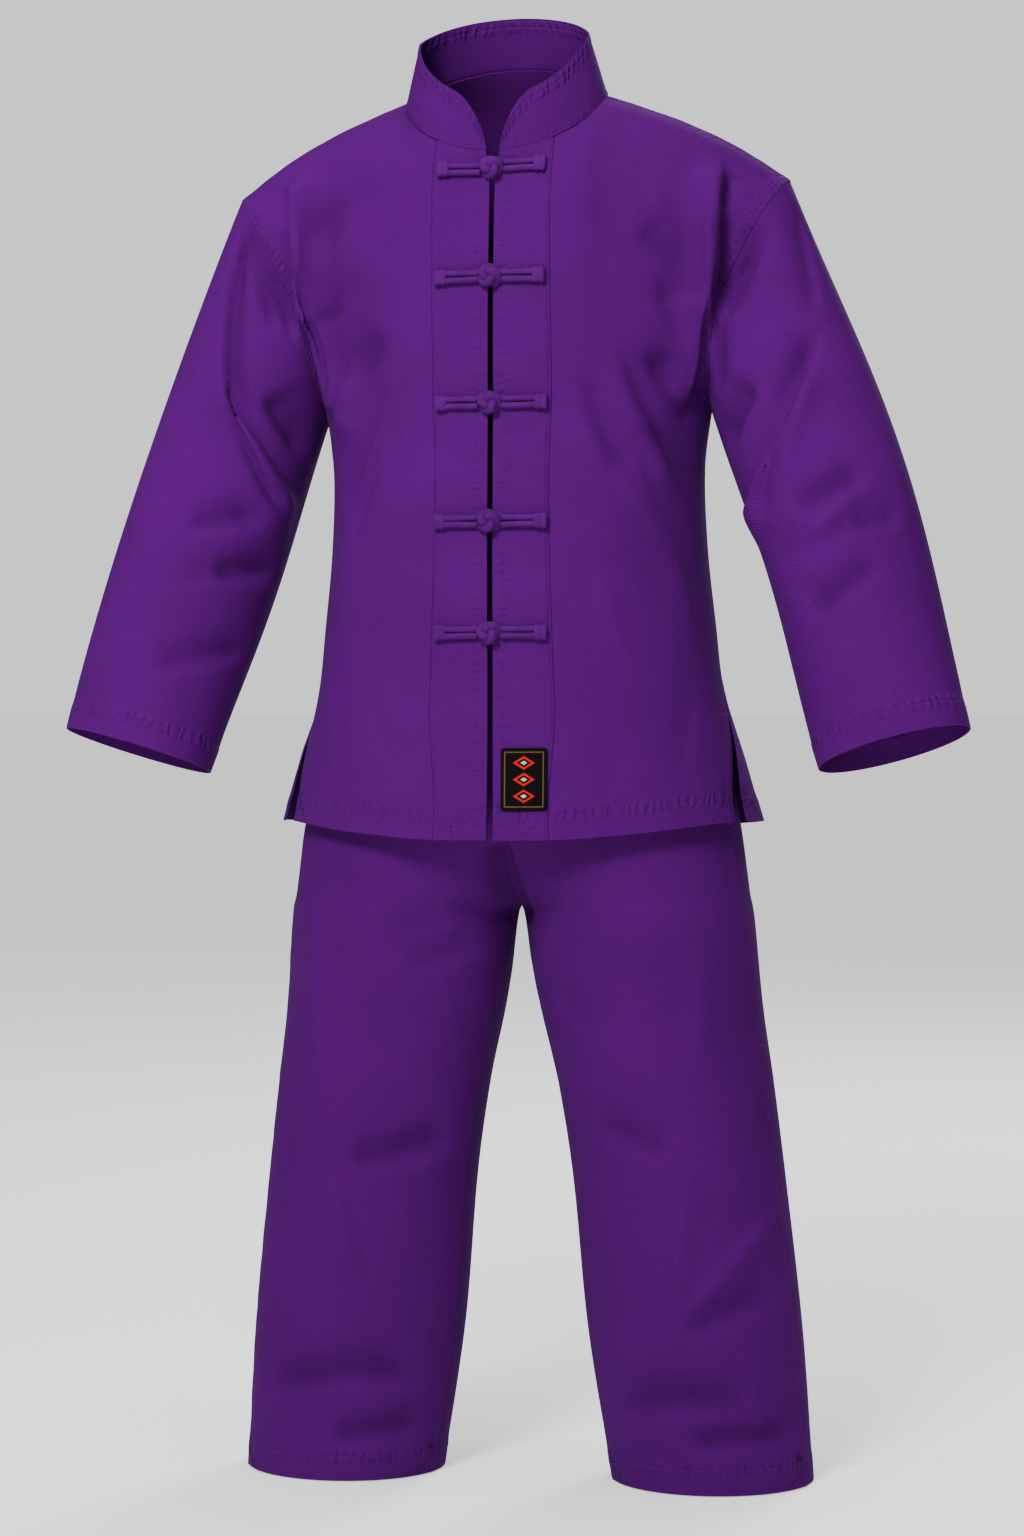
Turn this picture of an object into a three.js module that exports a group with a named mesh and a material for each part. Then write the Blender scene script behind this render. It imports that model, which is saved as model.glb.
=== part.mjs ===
// Tai chi uniform: a stand-collar jacket with five frog fastenings over wide straight trousers,
// filled out as if worn. Millimetres, +Z up. The front faces -Y and the wearer's left is +X.
// The origin is on the middle axis at shoulder height, where the wearer holds the uniform up.
import * as THREE from "three";

// Cloth and seams
const CLOTH = 2;
const SEAM_GAP = 0.3;
const EXTRA_SEAM_GAP = { jacket_collar: 0.7, jacket_sleeve_left: 0.15, jacket_sleeve_right: 0.15 };
const HEM_HEIGHT = 24.5;
const HEM_FOLD = 0.8;
const BAND_CLOTH = 1.2;

// Jacket heights and widths
const HEM_Z = -733;
const HEM_RISE_AT_SIDE = 14;
const SLIT_TOP_Z = -590;
const UNDERARM_Z = -309;
const FRONT_EDGE_ANGLE = 0.9;
const BAND_EDGE_ANGLE = 17.46;
const NECK_COLUMN_ANGLE = 34.6;
const FRONT_FLAP_TURN = 18;
const BACK_FLAP_TURN = 16;

// The jacket body's rings from the hem up: half widths at the sides, and depths.
const BODY_LEVELS = [
  { z: -733, side: 236, backSide: 246, front: 146, back: 142 },
  { z: -660, side: 220, backSide: 225, front: 141, back: 136 },
  { z: -590, side: 204, backSide: 204, front: 138, back: 132 },
  { z: -530, side: 197, backSide: 197, front: 137, back: 128 },
  { z: -450, side: 189, backSide: 189, front: 135, back: 126 },
  { z: -370, side: 187, backSide: 187, front: 130, back: 129 },
  { z: -309, side: 195, backSide: 195, front: 126, back: 132 },
];

// Neckline and collar
const NECK = { halfWidth: 100, centreY: -44, halfDepth: 62, sideZ: -7, frontDrop: 57, backRise: 38 };
const NECK_EDGE_X = 6.5;
const NECK_EDGE_ANGLE = 3.73;
const NECK_BAND_ANGLE = 34.75;
const NECK_FRONT_CURVE = 1.2;
const NECK_BACK_CURVE = 1.3;
const COLLAR_HEIGHT = 50;
const COLLAR_SIDE_EXTRA = 8;
const COLLAR_LEAN_SIDE = 0.16;
const COLLAR_LEAN_FRONT = 0.09;
const COLLAR_CORNER = 27;
const COLLAR_EDGE_SHARE = 0.24;
const COLLAR_FORWARD = 9;

// How the chest and the upper back turn over to the neck: how steeply they leave the underarm, then how
// far they run over and still rise at the top, at the middle and at the side, as shares of their height.
const CHEST_START = 1.2;
const CHEST_TURN = {
  front: { overMiddle: 0.15, overSide: 0.9, riseMiddle: 1, riseSide: 0.15 },
  back: { overMiddle: -0.45, overSide: -0.9, riseMiddle: 0.6, riseSide: 0.15 },
};
const ARMHOLE_PULL = 4;

// Shoulder and armhole
const TIP = { x: 277, y: -18, z: -94 };
const SHOULDER_DROP = 59;
const ARMHOLE_FRONT = { forward: -60, inward: -17 };
const ARMHOLE_BACK = { forward: 71, inward: -8 };

// Sleeves: the cuff is an ellipse whose outer side is higher and whose front is higher.
const CUFF = { x: 380, y: -60, z: -648, halfWidth: 74.5, halfDepth: 60, sideTilt: 15.5, frontTilt: 12 };
const SLEEVE_PUFF = { inner: 5, outer: 12, innerPower: 2, outerPower: 0.8 };
const SLEEVE_SLANT = 1.15;
const ELBOW_OUT = { left: 11, right: -1 };

// Front band, badge and frogs
const BAND_COLUMNS = 3;
const BADGE = { x: 33, z: -674.5, width: 44.5, height: 60.5, thickness: 1.2, columns: 4, rows: 5 };
const FROG_HEIGHTS = [-83, -189, -311, -426, -533];
const FROG = { knotHalfWidth: 13, knotHalfHeight: 12, knotDepth: 10.5, cordStart: 13.9, tabStart: 43.2, end: 54.5 };
const FROG_SEAT = 0.8;
const KNOT_SEAT = 0.9;
const TOP_FROG_TILT = 1.5;

// A frog's sections, as points up along the cloth and out from it: two cords, or their folded tab.
const CORD_SECTION = [
  [-6.5, 0], [6.5, 0], [6.5, 2.2], [4.8, 4.4], [1.8, 4.2], [0, 2.2], [-1.8, 4.2], [-4.8, 4.4], [-6.5, 2.2],
];
const TAB_SECTION = [
  [-8, 0], [8, 0], [8, 3.4], [6, 5.6], [2, 5.8], [0, 5.8], [-2, 5.8], [-6, 5.6], [-8, 3.4],
];
const CORD_STOPS = [0, 0.3, 0.65, 1];
const TAB_STOPS = [{ at: 0.02, scale: 1 }, { at: 0.7, scale: 1 }, { at: 1, scale: 0.88 }];

// A knot is a low dome of crossed strands: its rings' radius and height as shares of its size.
const KNOT_RINGS = [
  { radius: 0.72, height: 0 }, { radius: 1, height: 0.22 }, { radius: 0.97, height: 0.5 },
  { radius: 0.72, height: 0.82 }, { radius: 0.3, height: 1 },
];
const KNOT_SIDES = 14;
const KNOT_STRAND = { crest: 0.03, groove: -0.05 };

// Trousers
const WAIST_Z = -430;
const WAISTBAND_HEIGHT = 40;
const RISE_TOP_Z = -640;
const CROTCH_Z = -790;
const LEG_HEM_Z = -1370;
const SIDE_SEAM_TURN = 15;
const INSEAM_TURN = 17;
const SEAM_TURN_LENGTH = 110;
const CROTCH_NOTCH = 16;
const NOTCH_LENGTH = 70;

// The hips' rings: half width, and depths to the front and the back.
const HIP_LEVELS = [
  { z: -800, side: 230, front: 127, back: 132 },
  { z: -726, side: 220, front: 127, back: 132 },
  { z: -640, side: 203, front: 127, back: 130 },
  { z: -560, side: 186, front: 122, back: 124 },
  { z: -470, side: 152, front: 108, back: 110 },
  { z: -430, side: 150, front: 107, back: 108 },
];

// One leg's rings: the inner and outer sides, depths from its middle, and how far its middle is forward.
const LEG_LEVELS = [
  { z: -1370, inner: 88, outer: 286, front: 82, back: 86, forward: -6 },
  { z: -1225, inner: 65, outer: 277, front: 88, back: 94, forward: -6 },
  { z: -1073, inner: 51, outer: 261, front: 92, back: 98, forward: -6 },
  { z: -980, inner: 37, outer: 250, front: 96, back: 100, forward: -6 },
  { z: -904, inner: 20, outer: 240, front: 100, back: 104, forward: -4 },
  { z: -819, inner: 5, outer: 233, front: 103, back: 107, forward: 0 },
  { z: -790, inner: 0, outer: 229, front: 104, back: 108, forward: 0 },
  { z: -640, inner: 0, outer: 215, front: 104, back: 108, forward: 0 },
];

// The largest folds. Each is a soft ridge (height over 0) or trough along a line that is seen from the
// front or the back: across is x, up is z.
const JACKET_FOLDS = [
  { view: "front", x1: -206, z1: -100, x2: -207, z2: -215, width: 17, height: 12 },
  { view: "front", x1: -196, z1: -222, x2: -176, z2: -300, width: 14, height: 8 },
  { view: "front", x1: -178, z1: -112, x2: -176, z2: -215, width: 18, height: -7 },
  { view: "front", x1: 212, z1: -100, x2: 209, z2: -215, width: 17, height: 12 },
  { view: "front", x1: 196, z1: -222, x2: 178, z2: -300, width: 14, height: 8 },
  { view: "front", x1: 182, z1: -112, x2: 180, z2: -215, width: 18, height: -7 },
  { view: "front", x1: -114, z1: -80, x2: -190, z2: -158, width: 19, height: -5 },
  { view: "front", x1: -147, z1: -257, x2: -168, z2: -345, width: 16, height: 7 },
  { view: "front", x1: -90, z1: -265, x2: -150, z2: -415, width: 19, height: 6 },
  { view: "front", x1: -112, z1: -235, x2: -158, z2: -300, width: 15, height: -5 },
  { view: "front", x1: 138, z1: -141, x2: 195, z2: -185, width: 18, height: -5 },
  { view: "front", x1: 148, z1: -262, x2: 188, z2: -335, width: 15, height: -6 },
  { view: "front", x1: 108, z1: -250, x2: 170, z2: -412, width: 18, height: 7 },
  { view: "front", x1: 88, z1: -270, x2: 128, z2: -400, width: 17, height: -4 },
  { view: "front", x1: -262, z1: -132, x2: -226, z2: -235, width: 16, height: -8 },
  { view: "front", x1: 262, z1: -132, x2: 226, z2: -235, width: 16, height: -8 },
  { view: "front", x1: -271, z1: -302, x2: -214, z2: -430, width: 17, height: 9 },
  { view: "front", x1: -240, z1: -290, x2: -204, z2: -360, width: 15, height: -9 },
  { view: "front", x1: 292, z1: -305, x2: 236, z2: -436, width: 17, height: 9 },
  { view: "front", x1: 250, z1: -290, x2: 212, z2: -360, width: 15, height: -9 },
  { view: "front", x1: -318, z1: -424, x2: -240, z2: -418, width: 13, height: -7 },
  { view: "front", x1: -291, z1: -473, x2: -228, z2: -476, width: 12, height: -6 },
  { view: "front", x1: -355, z1: -564, x2: -250, z2: -548, width: 13, height: -6 },
  { view: "front", x1: 364, z1: -381, x2: 284, z2: -422, width: 13, height: -8 },
  { view: "front", x1: 394, z1: -426, x2: 345, z2: -437, width: 12, height: -5 },
  { view: "front", x1: 378, z1: -466, x2: 299, z2: -522, width: 14, height: -8 },
  { view: "front", x1: 350, z1: -400, x2: 300, z2: -450, width: 12, height: 5 },
  { view: "back", x1: -196, z1: -110, x2: -176, z2: -262, width: 16, height: 9 },
  { view: "back", x1: 196, z1: -110, x2: 178, z2: -262, width: 16, height: 9 },
  { view: "back", x1: -150, z1: -250, x2: -90, z2: -400, width: 20, height: 6 },
  { view: "back", x1: 150, z1: -260, x2: 95, z2: -390, width: 20, height: 6 },
  { view: "back", x1: -60, z1: -90, x2: 60, z2: -96, width: 20, height: -4 },
  { view: "back", x1: -120, z1: -430, x2: 20, z2: -470, width: 22, height: -5 },
  { view: "back", x1: 130, z1: -440, x2: 10, z2: -500, width: 22, height: -5 },
  { view: "back", x1: -345, z1: -400, x2: -255, z2: -440, width: 14, height: -7 },
  { view: "back", x1: 350, z1: -400, x2: 258, z2: -446, width: 14, height: -7 },
  { view: "back", x1: -365, z1: -480, x2: -275, z2: -520, width: 14, height: -6 },
  { view: "back", x1: 366, z1: -490, x2: 280, z2: -525, width: 14, height: -6 },
];
const TROUSER_FOLDS = [
  { view: "front", x1: -185, z1: -960, x2: -150, z2: -1190, width: 26, height: 6 },
  { view: "front", x1: -161, z1: -1051, x2: -80, z2: -1040, width: 15, height: -6 },
  { view: "front", x1: -84, z1: -1042, x2: -52, z2: -1018, width: 14, height: -5 },
  { view: "front", x1: -266, z1: -1292, x2: -202, z2: -1235, width: 15, height: -7 },
  { view: "front", x1: -192, z1: -1230, x2: -90, z2: -1266, width: 16, height: -7 },
  { view: "front", x1: -180, z1: -1327, x2: -100, z2: -1308, width: 13, height: -5 },
  { view: "front", x1: 130, z1: -1258, x2: 192, z2: -1176, width: 16, height: -7 },
  { view: "front", x1: 194, z1: -1176, x2: 266, z2: -1171, width: 14, height: -6 },
  { view: "front", x1: 112, z1: -1282, x2: 183, z2: -1260, width: 15, height: -7 },
  { view: "front", x1: 186, z1: -1260, x2: 244, z2: -1274, width: 14, height: -6 },
  { view: "front", x1: 180, z1: -1322, x2: 262, z2: -1312, width: 13, height: -5 },
  { view: "front", x1: 70, z1: -1022, x2: 120, z2: -1036, width: 15, height: -5 },
  { view: "front", x1: 154, z1: -960, x2: 153, z2: -1140, width: 28, height: 6 },
  { view: "back", x1: -70, z1: -850, x2: -170, z2: -905, width: 20, height: -7 },
  { view: "back", x1: 70, z1: -850, x2: 170, z2: -905, width: 20, height: -7 },
  { view: "back", x1: -90, z1: -1040, x2: -220, z2: -1062, width: 16, height: -6 },
  { view: "back", x1: 90, z1: -1036, x2: 220, z2: -1066, width: 16, height: -6 },
  { view: "back", x1: -110, z1: -1240, x2: -240, z2: -1275, width: 16, height: -6 },
  { view: "back", x1: 110, z1: -1236, x2: 240, z2: -1272, width: 16, height: -6 },
];

// A fold fades out where the cloth turns away from the side that the fold is seen from.
const FOLD_FACING = { from: 0.05, over: 0.5 };

// How finely the cloth is divided, and how near two points are when they are one
const BODY_ROWS = [0, 0.061, 0.125, 0.19, 0.255, 0.321, 0.4, 0.48, 0.565, 0.65, 0.735, 0.82, 0.91, 1];
const UPPER_ROWS = 10;
const BODY_COLUMNS = 12;
const NECK_SHARE = 0.5;
const BAND_SHARE = BAND_COLUMNS / BODY_COLUMNS;
const SLEEVE_ROWS = 17;
const COLLAR_ROWS = 3;
const TROUSER_COLUMNS = 10;
const WELD = 0.02;
const ON_EDGE = 0.001;
const TROUSER_ROWS = [
  -470, -515, -560, -600, -640, -675, -706, -732, -752, -768, -781, -790, -802, -819, -855, -904, -955,
  -1008, -1060, -1112, -1164, -1216, -1262, -1306, LEG_HEM_Z + HEM_HEIGHT, LEG_HEM_Z,
];

// Colours
const JACKET_COLOUR = 0x581f84;
const BAND_COLOUR = 0x5a2088;
const TROUSER_COLOUR = 0x561e80;
const FROG_COLOUR = 0x642a96;
const BADGE_COLOUR = 0x141014;

const radians = THREE.MathUtils.degToRad;
const clamp01 = (t) => Math.min(1, Math.max(0, t));
const ease = (t) => clamp01(t) ** 2 * (3 - 2 * clamp01(t));
const mix = (a, b, t) => a + (b - a) * t;

// A smooth value between the rows of a table that is sorted by one column.
function between(rows, key, column, at) {
  const low = rows[0][key] < rows[rows.length - 1][key] ? rows : [...rows].reverse();
  const last = low.length - 1;
  const x = Math.min(low[last][key], Math.max(low[0][key], at));
  let i = 0;
  while (i < last - 1 && x > low[i + 1][key]) i += 1;
  const slope = (k) => {
    const a = low[Math.max(0, k - 1)];
    const b = low[Math.min(last, k + 1)];
    return (b[column] - a[column]) / (b[key] - a[key]);
  };
  const width = low[i + 1][key] - low[i][key];
  const t = (x - low[i][key]) / width;
  const curve = (2 * t ** 3 - 3 * t ** 2 + 1) * low[i][column] + (3 * t ** 2 - 2 * t ** 3) * low[i + 1][column];
  return curve + ((t ** 3 - 2 * t ** 2 + t) * slope(i) + (t ** 3 - t ** 2) * slope(i + 1)) * width;
}

// A straight run between the stops of a short list of [share, value] pairs.
function stops(list, share) {
  let i = 0;
  while (i < list.length - 2 && share > list[i + 1][0]) i += 1;
  const [from, to] = [list[i], list[i + 1]];
  return mix(from[1], to[1], (share - from[0]) / (to[0] - from[0]));
}

// Jacket body. "across" runs from 0 at the middle to 1 at the side, and every point is on the wearer's
// left; the other side mirrors it.
function girthAngle(face, across) {
  const front = [[0, FRONT_EDGE_ANGLE], [BAND_SHARE, BAND_EDGE_ANGLE], [NECK_SHARE, NECK_COLUMN_ANGLE], [1, 90]];
  const back = [[0, 0], [NECK_SHARE, NECK_COLUMN_ANGLE], [1, 90]];
  return stops(face === "front" ? front : back, across);
}

function bodyRing(face, across, z) {
  const open = ease((SLIT_TOP_Z - z) / (SLIT_TOP_Z - HEM_Z - HEM_RISE_AT_SIDE));
  const turn = (face === "front" ? -FRONT_FLAP_TURN : BACK_FLAP_TURN) * open;
  const angle = radians(girthAngle(face, across) * (1 + turn / 90));
  const side = between(BODY_LEVELS, "z", face === "front" ? "side" : "backSide", z);
  const depth = between(BODY_LEVELS, "z", face, z) * (face === "front" ? -1 : 1);
  return new THREE.Vector3(side * Math.sin(angle), depth * Math.cos(angle), z);
}

function hemHeight(across) {
  return HEM_Z + HEM_RISE_AT_SIDE * ease(across) ** 2;
}

function neckline(face, across) {
  const share = across / NECK_SHARE;
  const front = [[0, NECK_EDGE_ANGLE], [BAND_SHARE / NECK_SHARE, NECK_BAND_ANGLE], [1, 90]];
  const angle = face === "front" ? radians(stops(front, share)) : radians(180 - 90 * share);
  const forward = Math.max(0, Math.cos(angle));
  const backward = Math.max(0, -Math.cos(angle));
  return new THREE.Vector3(
    NECK.halfWidth * Math.sin(angle),
    NECK.centreY - NECK.halfDepth * Math.cos(angle),
    NECK.sideZ - NECK.frontDrop * forward ** NECK_FRONT_CURVE + NECK.backRise * backward ** NECK_BACK_CURVE,
  );
}

function shoulder(across) {
  const out = (across - NECK_SHARE) / (1 - NECK_SHARE);
  const drop = SHOULDER_DROP * out + (NECK.sideZ - TIP.z - SHOULDER_DROP) * out ** 3;
  return new THREE.Vector3(mix(NECK.halfWidth, TIP.x, out), mix(NECK.centreY, TIP.y, out), NECK.sideZ - drop);
}

// The armhole seam from the underarm (0) over the front or the back to the shoulder tip (1).
function armhole(face, up) {
  const shape = face === "front" ? ARMHOLE_FRONT : ARMHOLE_BACK;
  const round = Math.sin(Math.PI * up);
  const rise = (1 - Math.cos(Math.PI * up)) / 2;
  const underarm = bodyRing(face, 1, UNDERARM_Z);
  return new THREE.Vector3(
    mix(underarm.x, TIP.x, rise) + shape.inward * round ** 2,
    mix(underarm.y, TIP.y, rise) + shape.forward * round,
    mix(underarm.z, TIP.z, rise),
  );
}

// A column of the chest or the upper back: a curve from the underarm ring over to the neck or shoulder.
function chestCurve(face, across, up) {
  const from = bodyRing(face, across, UNDERARM_Z);
  const to = across <= NECK_SHARE ? neckline(face, across) : shoulder(across);
  const length = to.z - from.z;
  const lean = ease(across / NECK_SHARE);
  const turn = CHEST_TURN[face];
  const over = mix(turn.overMiddle, turn.overSide, lean);
  const rise = mix(turn.riseMiddle, turn.riseSide, lean);
  const start = new THREE.Vector3(0, 0, CHEST_START * length);
  const end = new THREE.Vector3(0, over * length, rise * length);
  return new THREE.Vector3()
    .addScaledVector(from, 2 * up ** 3 - 3 * up ** 2 + 1)
    .addScaledVector(start, up ** 3 - 2 * up ** 2 + up)
    .addScaledVector(to, 3 * up ** 2 - 2 * up ** 3)
    .addScaledVector(end, up ** 3 - up ** 2);
}

function upperBody(face, across, up) {
  const toSeam = armhole(face, up).sub(chestCurve(face, 1, up));
  return chestCurve(face, across, up).addScaledVector(toSeam, across ** ARMHOLE_PULL);
}

function lowerBody(face, across, up) {
  return bodyRing(face, across, mix(hemHeight(across), UNDERARM_Z, up));
}

// Row 0 is the hem, and the rows after the last of BODY_ROWS climb from the underarm to the shoulder.
function bodyPoint(face, row, column) {
  const lower = BODY_ROWS.length - 1;
  const across = column / BODY_COLUMNS;
  if (row <= lower) return lowerBody(face, across, BODY_ROWS[row]);
  return upperBody(face, across, (row - lower) / UPPER_ROWS);
}

// Sleeve: straight lines from the armhole seam to the cuff, puffed out a little between.
function cuffPoint(angle) {
  const cuff = new THREE.Vector3(CUFF.x, CUFF.y, CUFF.z);
  const sideways = new THREE.Vector3(Math.cos(radians(CUFF.sideTilt)), 0, Math.sin(radians(CUFF.sideTilt)));
  const forward = new THREE.Vector3(0, -Math.cos(radians(CUFF.frontTilt)), Math.sin(radians(CUFF.frontTilt)));
  return cuff
    .addScaledVector(sideways, -CUFF.halfWidth * Math.cos(angle))
    .addScaledVector(forward, CUFF.halfDepth * Math.sin(angle));
}

function sleevePoint(name, down, around) {
  const seam = around <= UPPER_ROWS ? armhole("front", around / UPPER_ROWS) : armhole("back", 2 - around / UPPER_ROWS);
  const middle = armhole("front", 0).add(armhole("front", 1)).multiplyScalar(0.5);
  middle.lerp(new THREE.Vector3(CUFF.x, CUFF.y, CUFF.z), down);
  const point = seam.lerp(cuffPoint((Math.PI * around) / UPPER_ROWS), down);
  const outward = point.clone().sub(middle).normalize();
  const outer = (1 - Math.cos((Math.PI * around) / UPPER_ROWS)) / 2;
  const middleShare = Math.sin(Math.PI * down);
  const puff = mix(SLEEVE_PUFF.inner, SLEEVE_PUFF.outer, outer) * middleShare ** mix(SLEEVE_PUFF.innerPower, SLEEVE_PUFF.outerPower, outer);
  point.x += ELBOW_OUT[name] * middleShare ** 2;
  return point.addScaledVector(outward, puff);
}

// Collar: it stands on the neckline and leans in, and its front corners are round.
function collarPoint(face, across, up) {
  const base = neckline(face, across);
  const fromEdge = face === "front" ? base.x - NECK_EDGE_X : COLLAR_CORNER;
  const corner = mix(COLLAR_EDGE_SHARE, 1, Math.sin((Math.PI / 2) * clamp01(fromEdge / COLLAR_CORNER)));
  const sideways = (base.x / NECK.halfWidth) ** 2;
  const rise = up * corner;
  return new THREE.Vector3(
    base.x * (1 - COLLAR_LEAN_SIDE * rise),
    NECK.centreY + (base.y - NECK.centreY) * (1 - COLLAR_LEAN_FRONT * rise) - COLLAR_FORWARD * rise,
    base.z + (COLLAR_HEIGHT + COLLAR_SIDE_EXTRA * sideways) * rise,
  );
}

// Trousers. "across" runs from the centre rise or the inseam (0) to the side seam (1).
function trouserPoint(face, across, z) {
  const down = clamp01((RISE_TOP_Z - z) / (RISE_TOP_Z - CROTCH_Z));
  const legShare = 1 - Math.sqrt(1 - down ** 2);
  const side = radians(SIDE_SEAM_TURN) * ease((WAIST_Z - z) / (WAIST_Z - CROTCH_Z));
  const inner = radians(INSEAM_TURN) * ease((CROTCH_Z - z) / SEAM_TURN_LENGTH);
  const seam = Math.PI / 2 - side;
  const hipAngle = face === "front" ? across * seam : Math.PI - across * (Math.PI - seam);
  const hipDepth = between(HIP_LEVELS, "z", Math.cos(hipAngle) > 0 ? "front" : "back", z);
  const hipX = between(HIP_LEVELS, "z", "side", z) * Math.sin(hipAngle);
  const hipY = -hipDepth * Math.cos(hipAngle);
  const frontTurn = mix(inner, Math.PI - side, across);
  const legAngle = face === "front" ? frontTurn : mix(inner, -Math.PI - side, across);
  const inside = z < CROTCH_Z ? between(LEG_LEVELS, "z", "inner", z) : 0;
  const outside = between(LEG_LEVELS, "z", "outer", z);
  const legDepth = between(LEG_LEVELS, "z", Math.sin(legAngle) > 0 ? "front" : "back", z);
  const nearCrotch = ease((z - CROTCH_Z + NOTCH_LENGTH) / NOTCH_LENGTH) * (1 + Math.cos(legAngle));
  const notch = (CROTCH_NOTCH / 2) * Math.abs(Math.sin(legAngle)) * nearCrotch;
  const legX = (inside + outside) / 2 - ((outside - inside) / 2) * Math.cos(legAngle) + notch;
  const legY = -between(LEG_LEVELS, "z", "forward", z) - legDepth * Math.sin(legAngle);
  return new THREE.Vector3(mix(hipX, legX, legShare), mix(hipY, legY, legShare), z);
}

// A garment is a set of panels over one welded middle surface, so pieces that meet share their seams.
class Garment {
  constructor(folds) {
    this.folds = folds;
    this.points = [];
    this.extra = [];
    this.found = new Map();
    this.panels = new Map();
  }

  vertex(point, extra) {
    const key = [point.x, point.y, point.z].map((c) => Math.round(c / WELD)).join();
    if (!this.found.has(key)) {
      this.found.set(key, this.points.length);
      this.points.push(point.clone());
      this.extra.push(extra);
    }
    return this.found.get(key);
  }

  // Adds a grid of points to a panel. "side" is 1 for the wearer's left and -1 for the mirrored right.
  grid(name, { rows, columns, pointAt, side = 1, flip = false, hem = () => 0 }) {
    const ids = [];
    for (let row = 0; row <= rows; row += 1) {
      ids.push([]);
      for (let column = 0; column <= columns; column += 1) {
        const point = pointAt(row, column);
        point.x *= side;
        ids[row].push(this.vertex(point, hem(row, column)));
      }
    }
    const faces = gridFaces(ids, flip !== side < 0);
    this.panels.set(name, [...(this.panels.get(name) ?? []), ...faces]);
    return ids;
  }

  // Each face counts by its angle at the point, so a sharp valley's normal points out of the valley.
  computeNormals() {
    this.normals = this.points.map(() => new THREE.Vector3());
    for (const faces of this.panels.values()) {
      for (const [a, b, c] of faces) {
        for (const [at, next, last] of [[a, b, c], [b, c, a], [c, a, b]]) {
          const toNext = this.points[next].clone().sub(this.points[at]);
          const toLast = this.points[last].clone().sub(this.points[at]);
          const angle = toNext.angleTo(toLast);
          this.normals[at].addScaledVector(toNext.cross(toLast).normalize(), angle);
        }
      }
    }
    this.normals.forEach((n) => n.normalize());
  }

  // Moves the surface out along ridges and in along troughs.
  fold() {
    this.computeNormals();
    this.points.forEach((point, id) => {
      const normal = this.normals[id];
      const moved = this.folds.reduce((sum, fold) => sum + foldAt(fold, point, normal), 0);
      point.addScaledVector(normal, moved);
    });
    this.computeNormals();
  }
}

function gridFaces(ids, flip) {
  const faces = [];
  for (let row = 0; row < ids.length - 1; row += 1) {
    for (let column = 0; column < ids[row].length - 1; column += 1) {
      const quad = [ids[row][column], ids[row][column + 1], ids[row + 1][column + 1], ids[row + 1][column]];
      if (flip) quad.reverse();
      const [a, b, c, d] = quad;
      if (flip) faces.push([a, b, d], [b, c, d]);
      else faces.push([a, b, c], [a, c, d]);
    }
  }
  return faces;
}

function foldAt(fold, point, normal) {
  const facing = ease(((fold.view === "front" ? -normal.y : normal.y) - FOLD_FACING.from) / FOLD_FACING.over);
  if (facing === 0) return 0;
  const [dx, dz] = [fold.x2 - fold.x1, fold.z2 - fold.z1];
  const along = clamp01(((point.x - fold.x1) * dx + (point.z - fold.z1) * dz) / (dx * dx + dz * dz));
  const away = Math.hypot(point.x - fold.x1 - dx * along, point.z - fold.z1 - dz * along);
  return fold.height * facing * Math.exp(-((away / fold.width) ** 2));
}

// Turns faces over a welded surface into a closed wall between two heights above that surface.
function wall(garment, faces, low, high, inset = SEAM_GAP / 2) {
  const edges = new Map();
  for (const [a, b, c] of faces) {
    for (const [from, to, other] of [[a, b, c], [b, c, a], [c, a, b]]) {
      if (edges.has(to + "," + from)) edges.delete(to + "," + from);
      else edges.set(from + "," + to, [from, to, other]);
    }
  }
  const inward = new Map();
  for (const [from, to, other] of edges.values()) {
    const along = garment.points[to].clone().sub(garment.points[from]).normalize();
    const into = garment.points[other].clone().sub(garment.points[from]);
    into.addScaledVector(along, -into.dot(along)).normalize();
    for (const id of [from, to]) inward.set(id, (inward.get(id) ?? new THREE.Vector3()).add(into));
  }
  for (const sum of inward.values()) sum.multiplyScalar(2 / Math.max(1, sum.lengthSq()));
  const ids = [...new Set(faces.flat())];
  const place = new Map(ids.map((id, i) => [id, i]));
  const positions = [];
  for (const level of [high, low]) {
    for (const id of ids) {
      const lift = level + (level > 0 ? garment.extra[id] : 0);
      const point = garment.points[id].clone().addScaledVector(garment.normals[id], lift);
      if (inward.has(id)) point.addScaledVector(inward.get(id), inset);
      positions.push(point.x, point.y, point.z);
    }
  }
  const under = ids.length;
  const index = [];
  for (const [a, b, c] of faces) {
    const [i, j, k] = [place.get(a), place.get(b), place.get(c)];
    index.push(i, j, k, under + k, under + j, under + i);
  }
  for (const [from, to] of edges.values()) {
    const [i, j] = [place.get(from), place.get(to)];
    index.push(j, i, under + i, j, under + i, under + j);
  }
  return closedGeometry(positions, index);
}

function closedGeometry(positions, index) {
  const geometry = new THREE.BufferGeometry();
  geometry.setAttribute("position", new THREE.Float32BufferAttribute(positions, 3));
  geometry.setIndex(index);
  geometry.computeVertexNormals();
  return geometry;
}

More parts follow.
